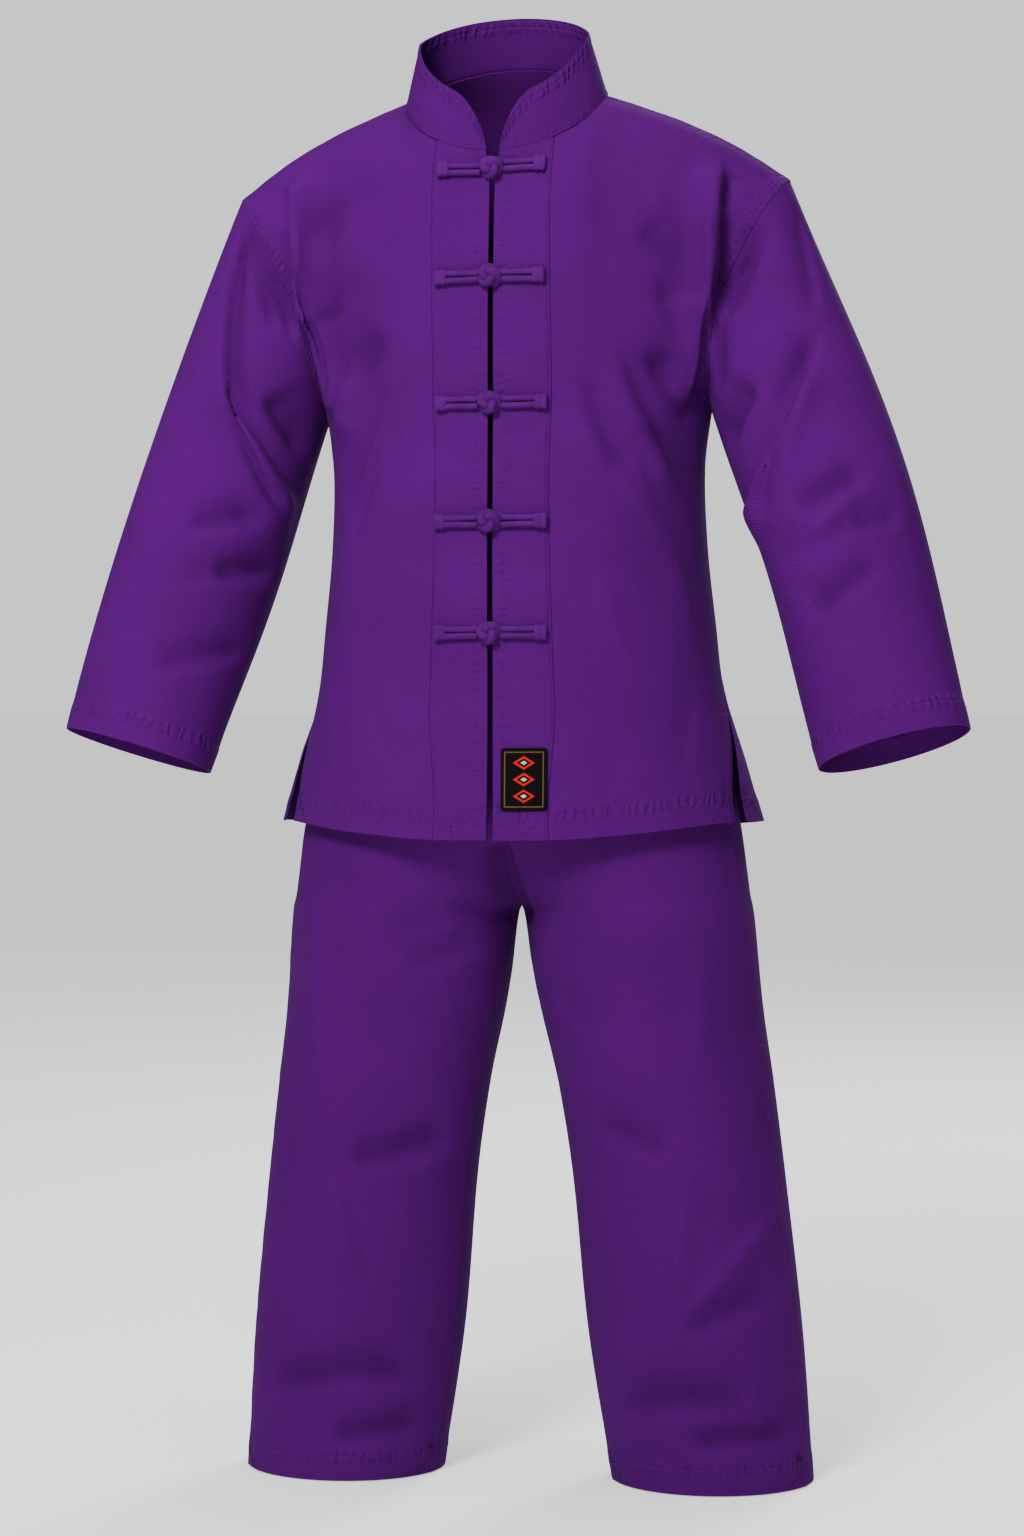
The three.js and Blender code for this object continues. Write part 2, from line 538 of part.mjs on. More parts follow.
// The place on a front panel behind a point given by its x and z, with the surface's normal there and
// what the turned hem adds.
function onFront(garment, ids, x, z) {
  for (const [a, b, c] of gridFaces(ids, false)) {
    const [p, q, r] = [a, b, c].map((id) => garment.points[id]);
    const area = (q.x - p.x) * (r.z - p.z) - (r.x - p.x) * (q.z - p.z);
    const v = ((x - p.x) * (r.z - p.z) - (r.x - p.x) * (z - p.z)) / area;
    const w = ((q.x - p.x) * (z - p.z) - (x - p.x) * (q.z - p.z)) / area;
    if (v < -ON_EDGE || w < -ON_EDGE || v + w > 1 + ON_EDGE) continue;
    const blend = (list) =>
      new THREE.Vector3()
        .addScaledVector(list[a], 1 - v - w)
        .addScaledVector(list[b], v)
        .addScaledVector(list[c], w);
    const extra = garment.extra[a] * (1 - v - w) + garment.extra[b] * v + garment.extra[c] * w;
    return { point: blend(garment.points), normal: blend(garment.normals).normalize(), extra };
  }
  throw new Error(`no front cloth at x ${x}, z ${z}`);
}

// A closed body from a row of matching rings, with flat ends.
function loft(rings) {
  const around = rings[0].length;
  const index = [];
  for (let r = 0; r < rings.length - 1; r += 1) {
    for (let i = 0; i < around; i += 1) {
      const [a, b] = [r * around + i, r * around + ((i + 1) % around)];
      index.push(a, b, b + around, a, b + around, a + around);
    }
  }
  const last = (rings.length - 1) * around;
  for (let i = 1; i < around - 1; i += 1) index.push(0, i + 1, i, last, last + i, last + i + 1);
  return closedGeometry(rings.flat().flatMap((p) => [p.x, p.y, p.z]), index);
}

const jacket = new Garment(JACKET_FOLDS);
const trousers = new Garment(TROUSER_FOLDS);
const sides = [["left", 1], ["right", -1]];

// Jacket panels
const hemOfBody = (row) => (row <= 1 ? HEM_FOLD : 0);
const hemOfSleeve = (row) => (row >= SLEEVE_ROWS - 1 ? HEM_FOLD : 0);
const bodyRows = BODY_ROWS.length - 1 + UPPER_ROWS;
const frontIds = {};
for (const [name, side] of sides) {
  frontIds[name] = jacket.grid(`jacket_front_${name}`, {
    rows: bodyRows,
    columns: BODY_COLUMNS,
    pointAt: (row, column) => bodyPoint("front", row, column),
    side,
    hem: hemOfBody,
  });
  jacket.grid("jacket_back", {
    rows: bodyRows,
    columns: BODY_COLUMNS,
    pointAt: (row, column) => bodyPoint("back", row, column),
    side,
    flip: true,
    hem: hemOfBody,
  });
  const lastRow = 1 - HEM_HEIGHT / Math.abs(CUFF.z - UNDERARM_Z) / SLEEVE_SLANT;
  jacket.grid(`jacket_sleeve_${name}`, {
    rows: SLEEVE_ROWS,
    columns: 2 * UPPER_ROWS,
    pointAt: (row, around) =>
      sleevePoint(name, row === SLEEVE_ROWS ? 1 : (lastRow * row) / (SLEEVE_ROWS - 1), around),
    side,
    flip: true,
    hem: hemOfSleeve,
  });
}

// Collar: one strip from the right front edge round the back to the left front edge.
const neckColumns = BODY_COLUMNS * NECK_SHARE;
const collarStops = [];
for (let i = 0; i <= neckColumns; i += 1) collarStops.push(["front", i, -1]);
for (let i = neckColumns - 1; i >= 0; i -= 1) collarStops.push(["back", i, -1]);
for (let i = 1; i <= neckColumns; i += 1) collarStops.push(["back", i, 1]);
for (let i = neckColumns - 1; i >= 0; i -= 1) collarStops.push(["front", i, 1]);
jacket.grid("jacket_collar", {
  rows: COLLAR_ROWS,
  columns: collarStops.length - 1,
  pointAt: (row, stop) => {
    const [face, column, side] = collarStops[stop];
    const point = collarPoint(face, column / BODY_COLUMNS, row / COLLAR_ROWS);
    point.x *= side;
    return point;
  },
  flip: true,
});
jacket.fold();

// Trouser panels and waistband
const hemOfLeg = (row) => (row >= TROUSER_ROWS.length - 2 ? HEM_FOLD : 0);
for (const [name, side] of sides) {
  for (const face of ["front", "back"]) {
    trousers.grid(`trouser_${face}_${name}`, {
      rows: TROUSER_ROWS.length - 1,
      columns: TROUSER_COLUMNS,
      pointAt: (row, column) => trouserPoint(face, column / TROUSER_COLUMNS, TROUSER_ROWS[row]),
      side,
      flip: face === "front",
      hem: hemOfLeg,
    });
    trousers.grid("trouser_waistband", {
      rows: 1,
      columns: TROUSER_COLUMNS,
      pointAt: (row, column) =>
        trouserPoint(face, column / TROUSER_COLUMNS, row ? WAIST_Z - WAISTBAND_HEIGHT : WAIST_Z),
      side,
      flip: face === "front",
      hem: () => HEM_FOLD,
    });
  }
}
trousers.fold();

const uniform = new THREE.Group();

function add(name, geometry, color, roughness = 0.85) {
  const material = new THREE.MeshStandardMaterial({ color, roughness, metalness: 0 });
  const mesh = new THREE.Mesh(geometry, material);
  mesh.name = name;
  uniform.add(mesh);
}

for (const [name, faces] of jacket.panels) {
  const inset = SEAM_GAP / 2 + (EXTRA_SEAM_GAP[name] ?? 0);
  add(name, wall(jacket, faces, -CLOTH / 2, CLOTH / 2, inset), JACKET_COLOUR);
}
for (const [name, faces] of trousers.panels) {
  add(name, wall(trousers, faces, -CLOTH / 2, CLOTH / 2), TROUSER_COLOUR);
}

// Front bands lie on the fronts, from the opening edge out to the third column.
const bandTop = CLOTH / 2 + SEAM_GAP + BAND_CLOTH;
for (const [name, side] of sides) {
  const ids = frontIds[name].map((row) => row.slice(0, BAND_COLUMNS + 1));
  const faces = gridFaces(ids, side < 0);
  add(`front_band_${name}`, wall(jacket, faces, CLOTH / 2 + SEAM_GAP, bandTop), BAND_COLOUR);
}

// A point over a front panel, lifted off the cloth and shifted up along it.
function overFront(x, z, lift, up = 0) {
  const ids = frontIds[x < 0 ? "right" : "left"];
  const { point, normal, extra } = onFront(jacket, ids, x, z);
  const upward = new THREE.Vector3(0, 0, 1).addScaledVector(normal, -normal.z).normalize();
  return point.addScaledVector(normal, lift + extra).addScaledVector(upward, up);
}

// Badge on the left front band
function badge() {
  const { columns, rows } = BADGE;
  const [low, high] = [bandTop + FROG_SEAT, bandTop + FROG_SEAT + BADGE.thickness];
  const rings = [];
  for (let i = 0; i <= columns; i += 1) {
    const x = BADGE.x + BADGE.width * (i / columns - 0.5);
    const line = (lift) =>
      Array.from({ length: rows + 1 }, (_, k) =>
        overFront(x, BADGE.z + BADGE.height * (k / rows - 0.5), lift),
      );
    rings.push([...line(high).reverse(), ...line(low)]);
  }
  return loft(rings);
}
add("badge", badge(), BADGE_COLOUR);

// Frog fastenings: on each side two cords side by side run from the knot to a folded tab.
function frogCords(z, side, tilt) {
  const seat = bandTop + FROG_SEAT;
  const ring = (section, x, scale) =>
    section.map(([up, out]) => overFront(side * x, z, seat + out * scale, (up + tilt * side) * scale));
  const rings = CORD_STOPS.map((t) => ring(CORD_SECTION, mix(FROG.cordStart, FROG.tabStart, t), 1));
  for (const { at, scale } of TAB_STOPS) {
    rings.push(ring(TAB_SECTION, mix(FROG.tabStart, FROG.end, at), scale));
  }
  return loft(side > 0 ? rings : rings.reverse());
}

// A knot button over the opening, closed by small flat ends.
function knot(z) {
  const [below, above] = [-FROG.knotHalfHeight, FROG.knotHalfHeight].map((up) =>
    overFront(NECK_EDGE_X, z + up, bandTop + KNOT_SEAT),
  );
  const seat = below.clone().add(above).multiplyScalar(0.5).setX(0);
  const upward = above.sub(below).setX(0).normalize();
  const outward = new THREE.Vector3(1, 0, 0).cross(upward);
  const rings = KNOT_RINGS.map(({ radius, height }) =>
    Array.from({ length: KNOT_SIDES }, (_, i) => {
      const angle = (2 * Math.PI * i) / KNOT_SIDES;
      const strand = radius * (1 + (i % 2 ? KNOT_STRAND.groove : KNOT_STRAND.crest) * radius);
      return seat
        .clone()
        .addScaledVector(new THREE.Vector3(1, 0, 0), FROG.knotHalfWidth * strand * Math.cos(angle))
        .addScaledVector(upward, FROG.knotHalfHeight * strand * Math.sin(angle))
        .addScaledVector(outward, FROG.knotDepth * height);
    }),
  );
  return loft(rings);
}

FROG_HEIGHTS.forEach((z, i) => {
  const tilt = i === 0 ? TOP_FROG_TILT : 0;
  add(`frog_${i + 1}_cords_left`, frogCords(z, 1, tilt), FROG_COLOUR);
  add(`frog_${i + 1}_cords_right`, frogCords(z, -1, tilt), FROG_COLOUR);
  add(`frog_${i + 1}_knot`, knot(z), FROG_COLOUR);
});

export default uniform;
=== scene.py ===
import math
import bpy
import numpy as np
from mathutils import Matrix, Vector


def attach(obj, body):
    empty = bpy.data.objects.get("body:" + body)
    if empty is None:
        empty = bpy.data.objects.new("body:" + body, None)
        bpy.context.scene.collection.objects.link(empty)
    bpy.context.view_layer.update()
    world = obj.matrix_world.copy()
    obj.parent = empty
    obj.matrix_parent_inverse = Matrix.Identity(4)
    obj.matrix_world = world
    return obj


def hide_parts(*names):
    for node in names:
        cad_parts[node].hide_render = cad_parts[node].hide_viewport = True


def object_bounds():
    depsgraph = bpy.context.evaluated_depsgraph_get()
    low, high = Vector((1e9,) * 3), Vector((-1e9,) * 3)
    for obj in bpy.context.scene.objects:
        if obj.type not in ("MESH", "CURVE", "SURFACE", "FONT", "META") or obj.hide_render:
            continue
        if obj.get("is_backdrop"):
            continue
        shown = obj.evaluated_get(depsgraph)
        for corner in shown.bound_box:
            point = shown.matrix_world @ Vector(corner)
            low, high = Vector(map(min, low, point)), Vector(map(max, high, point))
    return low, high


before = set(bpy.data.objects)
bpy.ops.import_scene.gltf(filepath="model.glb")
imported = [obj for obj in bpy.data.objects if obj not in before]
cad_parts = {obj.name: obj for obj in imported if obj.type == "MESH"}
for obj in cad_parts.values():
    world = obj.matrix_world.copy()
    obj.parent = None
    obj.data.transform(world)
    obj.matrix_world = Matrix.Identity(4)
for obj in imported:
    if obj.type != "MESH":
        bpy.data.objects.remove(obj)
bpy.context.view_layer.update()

bl_info = {
    "name": "Tai Chi Uniform",
    "version": (1, 0, 0),
    "blender": (4, 5, 0),
    "location": "3D View > Sidebar > Uniform",
    "description": "Builds the cloth, fastenings and stitching of a jacket and trousers set",
    "category": "Object",
}

# Sizes are in millimetres in the tables and in metres in the scene. +Z is up, the front faces -Y, and the
# wearer's left is +X.
MM = 0.001

# Jacket: the heights of its hem, slits and underarm, how far the flaps beside a slit turn out in degrees,
# the neck, the collar, the shoulder's tip, how far the armholes bulge, the cuff and the elbows.
HEM_Z, HEM_RISE, SLIT_TOP_Z, UNDERARM_Z = -733, 14, -590, -309
FLAP_TURN = {"front": -18, "back": 16}
NECK = {"half_width": 100, "centre_y": -44, "half_depth": 62, "side_z": -7, "front_drop": 57,
        "front_curve": 1.2, "back_rise": 38, "back_curve": 1.3}
NECK_EDGE_X = 6.5
COLLAR = {"height": 50, "side_extra": 8, "lean_side": 0.16, "lean_front": 0.09, "corner": 41,
          "corner_curve": 0.7, "edge_share": 0.06, "forward": 9, "thickness": 1.25}
TIP = (277, -18, -94)
SHOULDER_DROP = 59
ARMHOLE = {"front": (-60, -17), "back": (71, -8)}
CUFF = {"x": 380, "y": -60, "z": -648, "half_width": 74.5, "half_depth": 60, "side_tilt": 15.5,
        "front_tilt": 12}
ELBOW_OUT = {"left": 11, "right": -1}
# The front edges stand apart by a narrow gap, which is wider at the neck and towards the hem.
OPENING = {"half_gap": 2.4, "neck_z": -84, "neck_fade": 20, "hem_z": -600, "hem_fade": 130, "hem_share": 0.9}
# Frogs: their heights, where cords and tabs start and end beside the front edge, and how they lie on the
# cloth. The knots' strand swings round their middle, over a plain core.
FROG_HEIGHTS = (-83, -189, -311, -426, -533)
FROG = {"cord_start": 11.0, "tab_start": 43.2, "end": 54.5, "top_tilt": 1.5, "lift": 2.9, "half_gap": 0.15,
        "sunk": 0.85, "overlap": 2, "wander": 0.25, "wander_length": 9, "wander_step": 1.7}
TAB = {"lift": 6.0, "half_height": 7.6, "half_depth": 3.0, "height_curve": 0.6, "depth_curve": 0.7,
       "overlap": 0.5,
       "swell": (0.78, 0.97, 1.0, 0.98, 0.86, 1.0, 1.03, 1.0, 0.80)}
KNOT = {"turns": (12, -20, 8, -10, 25), "lift": 6.6, "strand": 1.42, "swing": 3.1, "radius": 6.1, "lobe": 2.5,
        "squash": 0.9, "inner": 3.6, "span": 5, "dome": 2.2, "core_half": 6, "core_radius": 5.0,
        "core_tip": 0.04}
# The badge's middle, its size and its round corners, and how thick it is at its rim and past it.
BADGE = {"x": 33, "z": -674.5, "width": 44.5, "height": 60.5, "corner": 3.0, "low": 3.0, "high": 3.6,
         "crown": 0.9, "rim_share": 0.12}
# Trousers: their heights, how far the side seams and the inseams turn from the sides in degrees, over
# which length the inseams turn, and the notch between the legs at the crotch.
WAIST_Z, BAND_BOTTOM_Z, RISE_TOP_Z, CROTCH_Z, LEG_HEM_Z = -430, -470, -640, -804, -1370
SIDE_TURN, INSEAM_TURN, TURN_LENGTH = 15, 17, 110
NOTCH, NOTCH_LENGTH = 16, 70

# Shares of a panel's width, from its middle: where the front band ends and where the neck ends.
BAND_SHARE, NECK_SHARE = 0.25, 0.5
# Where a panel's width stands round the body and round the neck: shares of the width, and degrees.
BODY_TURN = {"front": ((0, BAND_SHARE, NECK_SHARE, 1), (0.9, 17.46, 34.6, 90)),
             "back": ((0, NECK_SHARE, 1), (0, 34.6, 90))}
NECK_TURN = {"front": ((0, 0.5, 1), (3.73, 34.75, 90)), "back": ((0, 1), (180, 90))}
# How strongly the chest rises from the underarm's height, and how it leans over and rises where it ends, at
# the neck's middle and at its side.
CHEST_START = 1.2
CHEST_END = {"front": {"over": (0.15, 0.9), "rise": (1, 0.15)},
             "back": {"over": (-0.45, -0.9), "rise": (0.6, 0.15)}}
# The higher this is, the nearer to the armhole a panel starts to bend to it.
ARMHOLE_PULL = 4
# How far a sleeve puffs out on its inner and outer side, and how that grows from its ends.
SLEEVE_PUFF, SLEEVE_CURVE = (5, 12), (2, 0.8)


def table(columns, rows):
    return {name: np.array(values, float) for name, values in zip(columns.split(), zip(*rows))}


BODY = table("z side back_side front back", [
    (-733, 236, 246, 146, 142), (-660, 220, 225, 141, 136), (-590, 204, 204, 138, 132),
    (-530, 197, 197, 137, 128), (-450, 189, 189, 135, 126), (-370, 187, 187, 130, 129),
    (-309, 195, 195, 126, 132)])
HIP = table("z side front back", [
    (-800, 230, 127, 132), (-726, 220, 127, 132), (-640, 203, 127, 130), (-560, 186, 122, 124),
    (-470, 152, 108, 110), (-430, 150, 107, 108)])
LEG = table("z inner outer front back forward", [
    (-1370, 88, 286, 82, 86, -6), (-1225, 65, 277, 88, 94, -6), (-1073, 51, 261, 92, 98, -6),
    (-980, 37, 250, 96, 100, -6), (-904, 20, 240, 100, 104, -4), (-819, 5, 233, 103, 107, 0),
    (-790, 0, 229, 104, 108, 0), (-640, 0, 215, 104, 108, 0)])

# Folds: a soft ridge (height over 0) or trough along a line that is seen from the front (-1) or the back
# (1). "bow" bends the line sideways at its middle, "fade" is how far its ends taper, and "steep" is the
# side on which a fold drops sharply: 1 for the +X side of a line that runs down, -1 for the other.
FOLD_COLUMNS = "view x1 z1 x2 z2 bow width height fade steep"
JACKET_FOLDS = table(FOLD_COLUMNS, [
    (-1, -206, -100, -207, -215, 0, 17, 12, 0, -1), (-1, -196, -222, -176, -300, 0, 14, 8, 0, -1),
    (-1, -178, -112, -176, -215, 0, 18, -2, 0, 0), (-1, 212, -100, 209, -215, 0, 17, 12, 0, 1),
    (-1, 196, -222, 178, -300, 0, 14, 8, 0, 1), (-1, 182, -112, 180, -215, 0, 18, -2, 0, 0),
    (-1, -114, -80, -190, -158, 0, 19, -5, 0, 0), (-1, -147, -257, -168, -345, 0, 16, 7, 0, 0),
    (-1, -90, -265, -150, -415, 0, 19, 6, 0, 0), (-1, -112, -235, -158, -300, 0, 15, -5, 0, 0),
    (-1, 138, -141, 195, -185, 0, 18, -5, 0, 0), (-1, 148, -262, 188, -335, 0, 15, -6, 0, 0),
    (-1, 108, -250, 170, -412, 0, 18, 7, 0, 0), (-1, 88, -270, 128, -400, 0, 17, -4, 0, 0),
    (-1, -262, -132, -226, -235, 0, 16, -8, 0, 0), (-1, 262, -132, 226, -235, 0, 16, -8, 0, 0),
    (-1, -271, -302, -214, -430, 0, 17, 9, 0, 1), (-1, -240, -290, -204, -360, 0, 15, -9, 0, 0),
    (-1, 292, -305, 236, -436, 0, 17, 9, 0, -1), (-1, 250, -290, 212, -360, 0, 15, -9, 0, 0),
    (-1, -318, -424, -240, -418, 0, 13, -7, 0, 0), (-1, -291, -473, -228, -476, 0, 12, -6, 0, 0),
    (-1, -355, -564, -250, -548, 0, 13, -6, 0, 0), (-1, 364, -381, 284, -422, 0, 13, -8, 0, 0),
    (-1, 394, -426, 345, -437, 0, 12, -5, 0, 0), (-1, 378, -466, 299, -522, 0, 14, -8, 0, 0),
    (-1, 350, -400, 300, -450, 0, 12, 5, 0, 0),
    (1, -196, -110, -176, -262, 0, 16, 9, 0, 0), (1, 196, -110, 178, -262, 0, 16, 9, 0, 0),
    (1, -150, -250, -90, -400, 0, 20, 6, 0, 0), (1, 150, -260, 95, -390, 0, 20, 6, 0, 0),
    (1, -60, -90, 60, -96, 0, 20, -4, 0, 0), (1, -120, -430, 20, -470, 0, 22, -5, 0, 0),
    (1, 130, -440, 10, -500, 0, 22, -5, 0, 0), (1, -345, -400, -255, -440, 0, 14, -7, 0, 0),
    (1, 350, -400, 258, -446, 0, 14, -7, 0, 0), (1, -365, -480, -275, -520, 0, 14, -6, 0, 0),
    (1, 366, -490, 280, -525, 0, 14, -6, 0, 0)])
TROUSER_FOLDS = table(FOLD_COLUMNS, [
    (-1, -263, -1293, -81, -1275, 17, 17, -9, 0.25, 0), (-1, -184, -1329, -88, -1319, 0, 12, -7.5, 0.25, 0),
    (-1, -165, -1053, -55, -1033, -3, 16, -9, 0.25, 0), (-1, 82, -1013, 172, -1041, 0, 15, -7, 0.3, 0),
    (-1, 99, -1303, 247, -1290, 16, 17, -9, 0.25, 0), (-1, 172, -1323, 286, -1316, 0, 12, -7.5, 0.25, 0),
    (-1, 166, -1216, 270, -1172, 0, 16, -7, 0.3, 0), (-1, 274, -1081, 153, -1223, 0, 16, 4.5, 0.3, 0),
    (-1, 181, -1037, 160, -1212, 0, 15, 4, 0.3, 0), (-1, -191, -749, -176, -1062, -4, 15, 4, 0.3, 0),
    (-1, -176, -1052, -145, -1179, -4, 16, 5, 0.3, 0), (-1, 2, -734, 13, -821, 0, 18, -11, 0.12, 1),
    (-1, -99, -860, -24, -841, 0, 14, -4, 0.35, 0), (-1, -123, -827, -52, -816, 0, 14, -3, 0.35, 0),
    (-1, 42, -876, 96, -928, 0, 14, -3, 0.35, 0), (-1, 195, -815, 184, -984, 0, 20, 3, 0.35, 0),
    (1, -70, -850, -170, -905, 0, 20, -7, 0, 0), (1, 70, -850, 170, -905, 0, 20, -7, 0, 0),
    (1, -90, -1040, -220, -1062, 0, 16, -6, 0, 0), (1, 90, -1036, 220, -1066, 0, 16, -6, 0, 0),
    (1, -110, -1240, -240, -1275, 0, 16, -6, 0, 0), (1, 110, -1236, 240, -1272, 0, 16, -6, 0, 0)])

# Finer creases over those folds.
JACKET_CREASES = table(FOLD_COLUMNS, [
    (-1, -260, -106, -218, -425, -36, 15, -7, 0.12, -1), (-1, 312, -241, 251, -432, 0, 17, -6.5, 0.15, 1),
    (-1, 282, -112, 310, -240, 4, 11, -2.6, 0.3, 1), (-1, -166, -289, -101, -239, -4, 18, -2.2, 0.3, 0),
    (-1, -162, -421, -74, -269, 4, 16, -4.2, 0.3, 0), (-1, -149, -455, -52, -290, 4, 11, 3.2, 0.35, 0),
    (-1, -204, -240, -124, -182, 0, 17, -1.8, 0.3, 0), (-1, -202, -154, -151, -96, 0, 14, -2.4, 0.35, 0),
    (-1, -331, -478, -226, -463, 0, 13, -2.4, 0.3, 0), (-1, 256, -468, 360, -433, 0, 13, -2.6, 0.3, 0),
    (-1, -230, -82, -216, -124, 3, 8, -3.0, 0.3, 1), (-1, -216, -112, -216, -214, 0, 8, -4.8, 0.3, 1),
    (-1, 228, -88, 222, -126, -3, 8, -3.0, 0.3, -1), (-1, 222, -112, 221, -212, 0, 8, -4.8, 0.3, -1),
    (-1, -205, -120, -205, -205, 0, 7, 2.6, 0.4, -1), (-1, 210, -115, 210, -205, 0, 7, 2.6, 0.4, 1),
    (-1, 132, -263, 211, -310, 4, 18, -2.6, 0.3, 0), (-1, 154, -209, 201, -197, 0, 13, -2.2, 0.3, 0),
    (-1, 142, -328, 211, -412, 4, 17, -3, 0.3, 0), (-1, 65, -289, 191, -464, -8, 13, 1.8, 0.4, 0),
    (-1, -208, -164, -181, -301, 3, 11, -4.6, 0.2, 1), (-1, 217, -173, 209, -307, -2, 11, -4.6, 0.2, -1),
    (-1, -268, -308, -218, -424, 7, 8, 2.6, 0.35, 1), (-1, 296, -312, 250, -430, -8, 8, 2.6, 0.35, -1),
    (-1, -250, -160, -211, -246, 3, 7, -4.0, 0.35, 0), (-1, 256, -160, 220, -240, -3, 7, -3.6, 0.35, 0),
    (-1, -152, -212, -186, -232, -3, 7, -2.2, 0.4, 0), (-1, 150, -206, 188, -226, 3, 7, -1.8, 0.4, 0),
    (-1, -60, -80, -150, -215, 8, 15, -1.6, 0.5, 0), (-1, -132, -75, -183, -190, 5, 9, 1.2, 0.5, 0),
    (-1, -150, -180, -185, -262, -8, 9, -2.2, 0.5, 0), (-1, -104, -238, -168, -330, 9, 10, -1.8, 0.5, 0),
    (-1, -120, -322, -158, -470, 10, 11, -1.5, 0.5, 0), (-1, -140, -380, -168, -520, -6, 12, 1.6, 0.5, 0),
    (-1, -88, -470, -150, -640, 9, 15, 1.3, 0.6, 0), (-1, -172, -560, -160, -700, 0, 10, -1.2, 0.5, 0),
    (-1, -120, -600, -70, -700, -8, 16, -1.2, 0.6, 0), (-1, -70, -395, -95, -560, 9, 15, -1.2, 0.6, 0),
    (-1, 92, -95, 168, -200, -8, 14, -1.5, 0.5, 0), (-1, 150, -88, 196, -180, -5, 9, 1.2, 0.5, 0),
    (-1, 140, -190, 190, -282, 8, 10, -2.0, 0.5, 0), (-1, 112, -262, 172, -340, -9, 9, -1.9, 0.5, 0),
    (-1, 140, -330, 176, -430, -10, 11, -2.2, 0.5, 0), (-1, 150, -420, 182, -560, 8, 12, 1.8, 0.5, 0),
    (-1, 100, -450, 160, -620, -9, 15, 1.3, 0.6, 0), (-1, 186, -560, 176, -700, 0, 10, -1.2, 0.5, 0),
    (-1, 128, -600, 96, -710, 8, 15, -1.2, 0.6, 0), (-1, 84, -400, 112, -560, -8, 14, -1.0, 0.6, 0),
    (1, -180, -180, -120, -300, 9, 12, -2.0, 0.5, 0), (1, 184, -190, 128, -310, -9, 12, -2.0, 0.5, 0),
    (1, -100, -60, -40, -150, -8, 14, 1.2, 0.5, 0), (1, 104, -62, 48, -156, 8, 14, 1.2, 0.5, 0),
    (1, -160, -380, -70, -430, 8, 14, 1.8, 0.5, 0), (1, 164, -390, 66, -446, -8, 14, 1.8, 0.5, 0),
    (1, -140, -480, -20, -530, 8, 16, -1.8, 0.5, 0), (1, 150, -500, 30, -560, -9, 16, -1.8, 0.5, 0),
    (1, -120, -560, -90, -700, 6, 18, 1.6, 0.6, 0), (1, 110, -570, 88, -706, -7, 18, 1.6, 0.6, 0),
    (1, 10, -520, -10, -690, 8, 20, -1.4, 0.6, 0), (1, -350, -330, -262, -380, 7, 12, 2.0, 0.5, 0),
    (1, 352, -336, 264, -388, -7, 12, 2.0, 0.5, 0), (1, -372, -440, -280, -478, 6, 10, 1.8, 0.5, 0),
    (1, 376, -446, 282, -482, -6, 10, 1.8, 0.5, 0), (1, -300, -180, -262, -300, 8, 14, -2.0, 0.5, 0),
    (1, 304, -184, 262, -306, -8, 14, -2.0, 0.5, 0), (1, -392, -540, -310, -570, 6, 13, -1.6, 0.5, 0),
    (1, 394, -548, 318, -580, -6, 13, -1.6, 0.5, 0)])
TROUSER_CREASES = table(FOLD_COLUMNS, [
    (1, -60, -820, -140, -860, 6, 14, 2.2, 0.5, 0), (1, 60, -820, 140, -862, -6, 14, 2.2, 0.5, 0),
    (1, -40, -870, -120, -960, 8, 12, -2.0, 0.5, 0), (1, 42, -872, 124, -966, -8, 12, -2.0, 0.5, 0),
    (1, -80, -1010, -180, -1026, 6, 12, 2.0, 0.5, 0), (1, 82, -1006, 184, -1030, -6, 12, 2.0, 0.5, 0),
    (1, -100, -1090, -170, -1080, 5, 11, 1.8, 0.5, 0), (1, 102, -1088, 176, -1084, -5, 11, 1.8, 0.5, 0),
    (1, -230, -1120, -170, -1200, 6, 16, 1.5, 0.6, 0), (1, 232, -1124, 172, -1206, -6, 16, 1.5, 0.6, 0),
    (1, -130, -1280, -230, -1310, 6, 11, -2.2, 0.5, 0), (1, 132, -1282, 236, -1316, -6, 11, -2.2, 0.5, 0),
    (1, -110, -1210, -190, -1225, 5, 11, 2.0, 0.5, 0), (1, 112, -1208, 194, -1229, -5, 11, 2.0, 0.5, 0)])


def ease(t):
    t = np.clip(t, 0, 1)
    return t * t * (3 - 2 * t)


def mix(a, b, t):
    return a + (b - a) * t


def unit(v):
    return v / np.maximum(np.linalg.norm(v, axis=-1, keepdims=True), 1e-9)


def vec(x, y, z):
    return np.stack(np.broadcast_arrays(np.asarray(x, float), y, z), axis=-1)


def between(levels, column, at):
    """A smooth value between a table's rows, which run upwards or downwards in z."""
    order = np.argsort(levels["z"])
    x, y = levels["z"][order], levels[column][order]
    at = np.clip(at, x[0], x[-1])
    i = np.clip(np.searchsorted(x, at, side="right") - 1, 0, len(x) - 2)
    k = np.arange(len(x))
    low, high = np.maximum(k - 1, 0), np.minimum(k + 1, len(x) - 1)
    slope = (y[high] - y[low]) / (x[high] - x[low])
    width = x[i + 1] - x[i]
    t = (at - x[i]) / width
    curve = (2 * t**3 - 3 * t**2 + 1) * y[i] + (3 * t**2 - 2 * t**3) * y[i + 1]
    return curve + ((t**3 - 2 * t**2 + t) * slope[i] + (t**3 - t**2) * slope[i + 1]) * width


# Jacket body: "across" runs from 0 at the middle to 1 at the side.
def body_ring(face, across, z):
    angle = np.interp(across, *BODY_TURN[face])
    opened = ease((SLIT_TOP_Z - z) / (SLIT_TOP_Z - HEM_Z - HEM_RISE))
    angle = np.radians(angle * (1 + FLAP_TURN[face] * opened / 90))
    side = between(BODY, "side" if face == "front" else "back_side", z)
    depth = between(BODY, face, z) * (-1 if face == "front" else 1)
    return vec(side * np.sin(angle), depth * np.cos(angle), z)


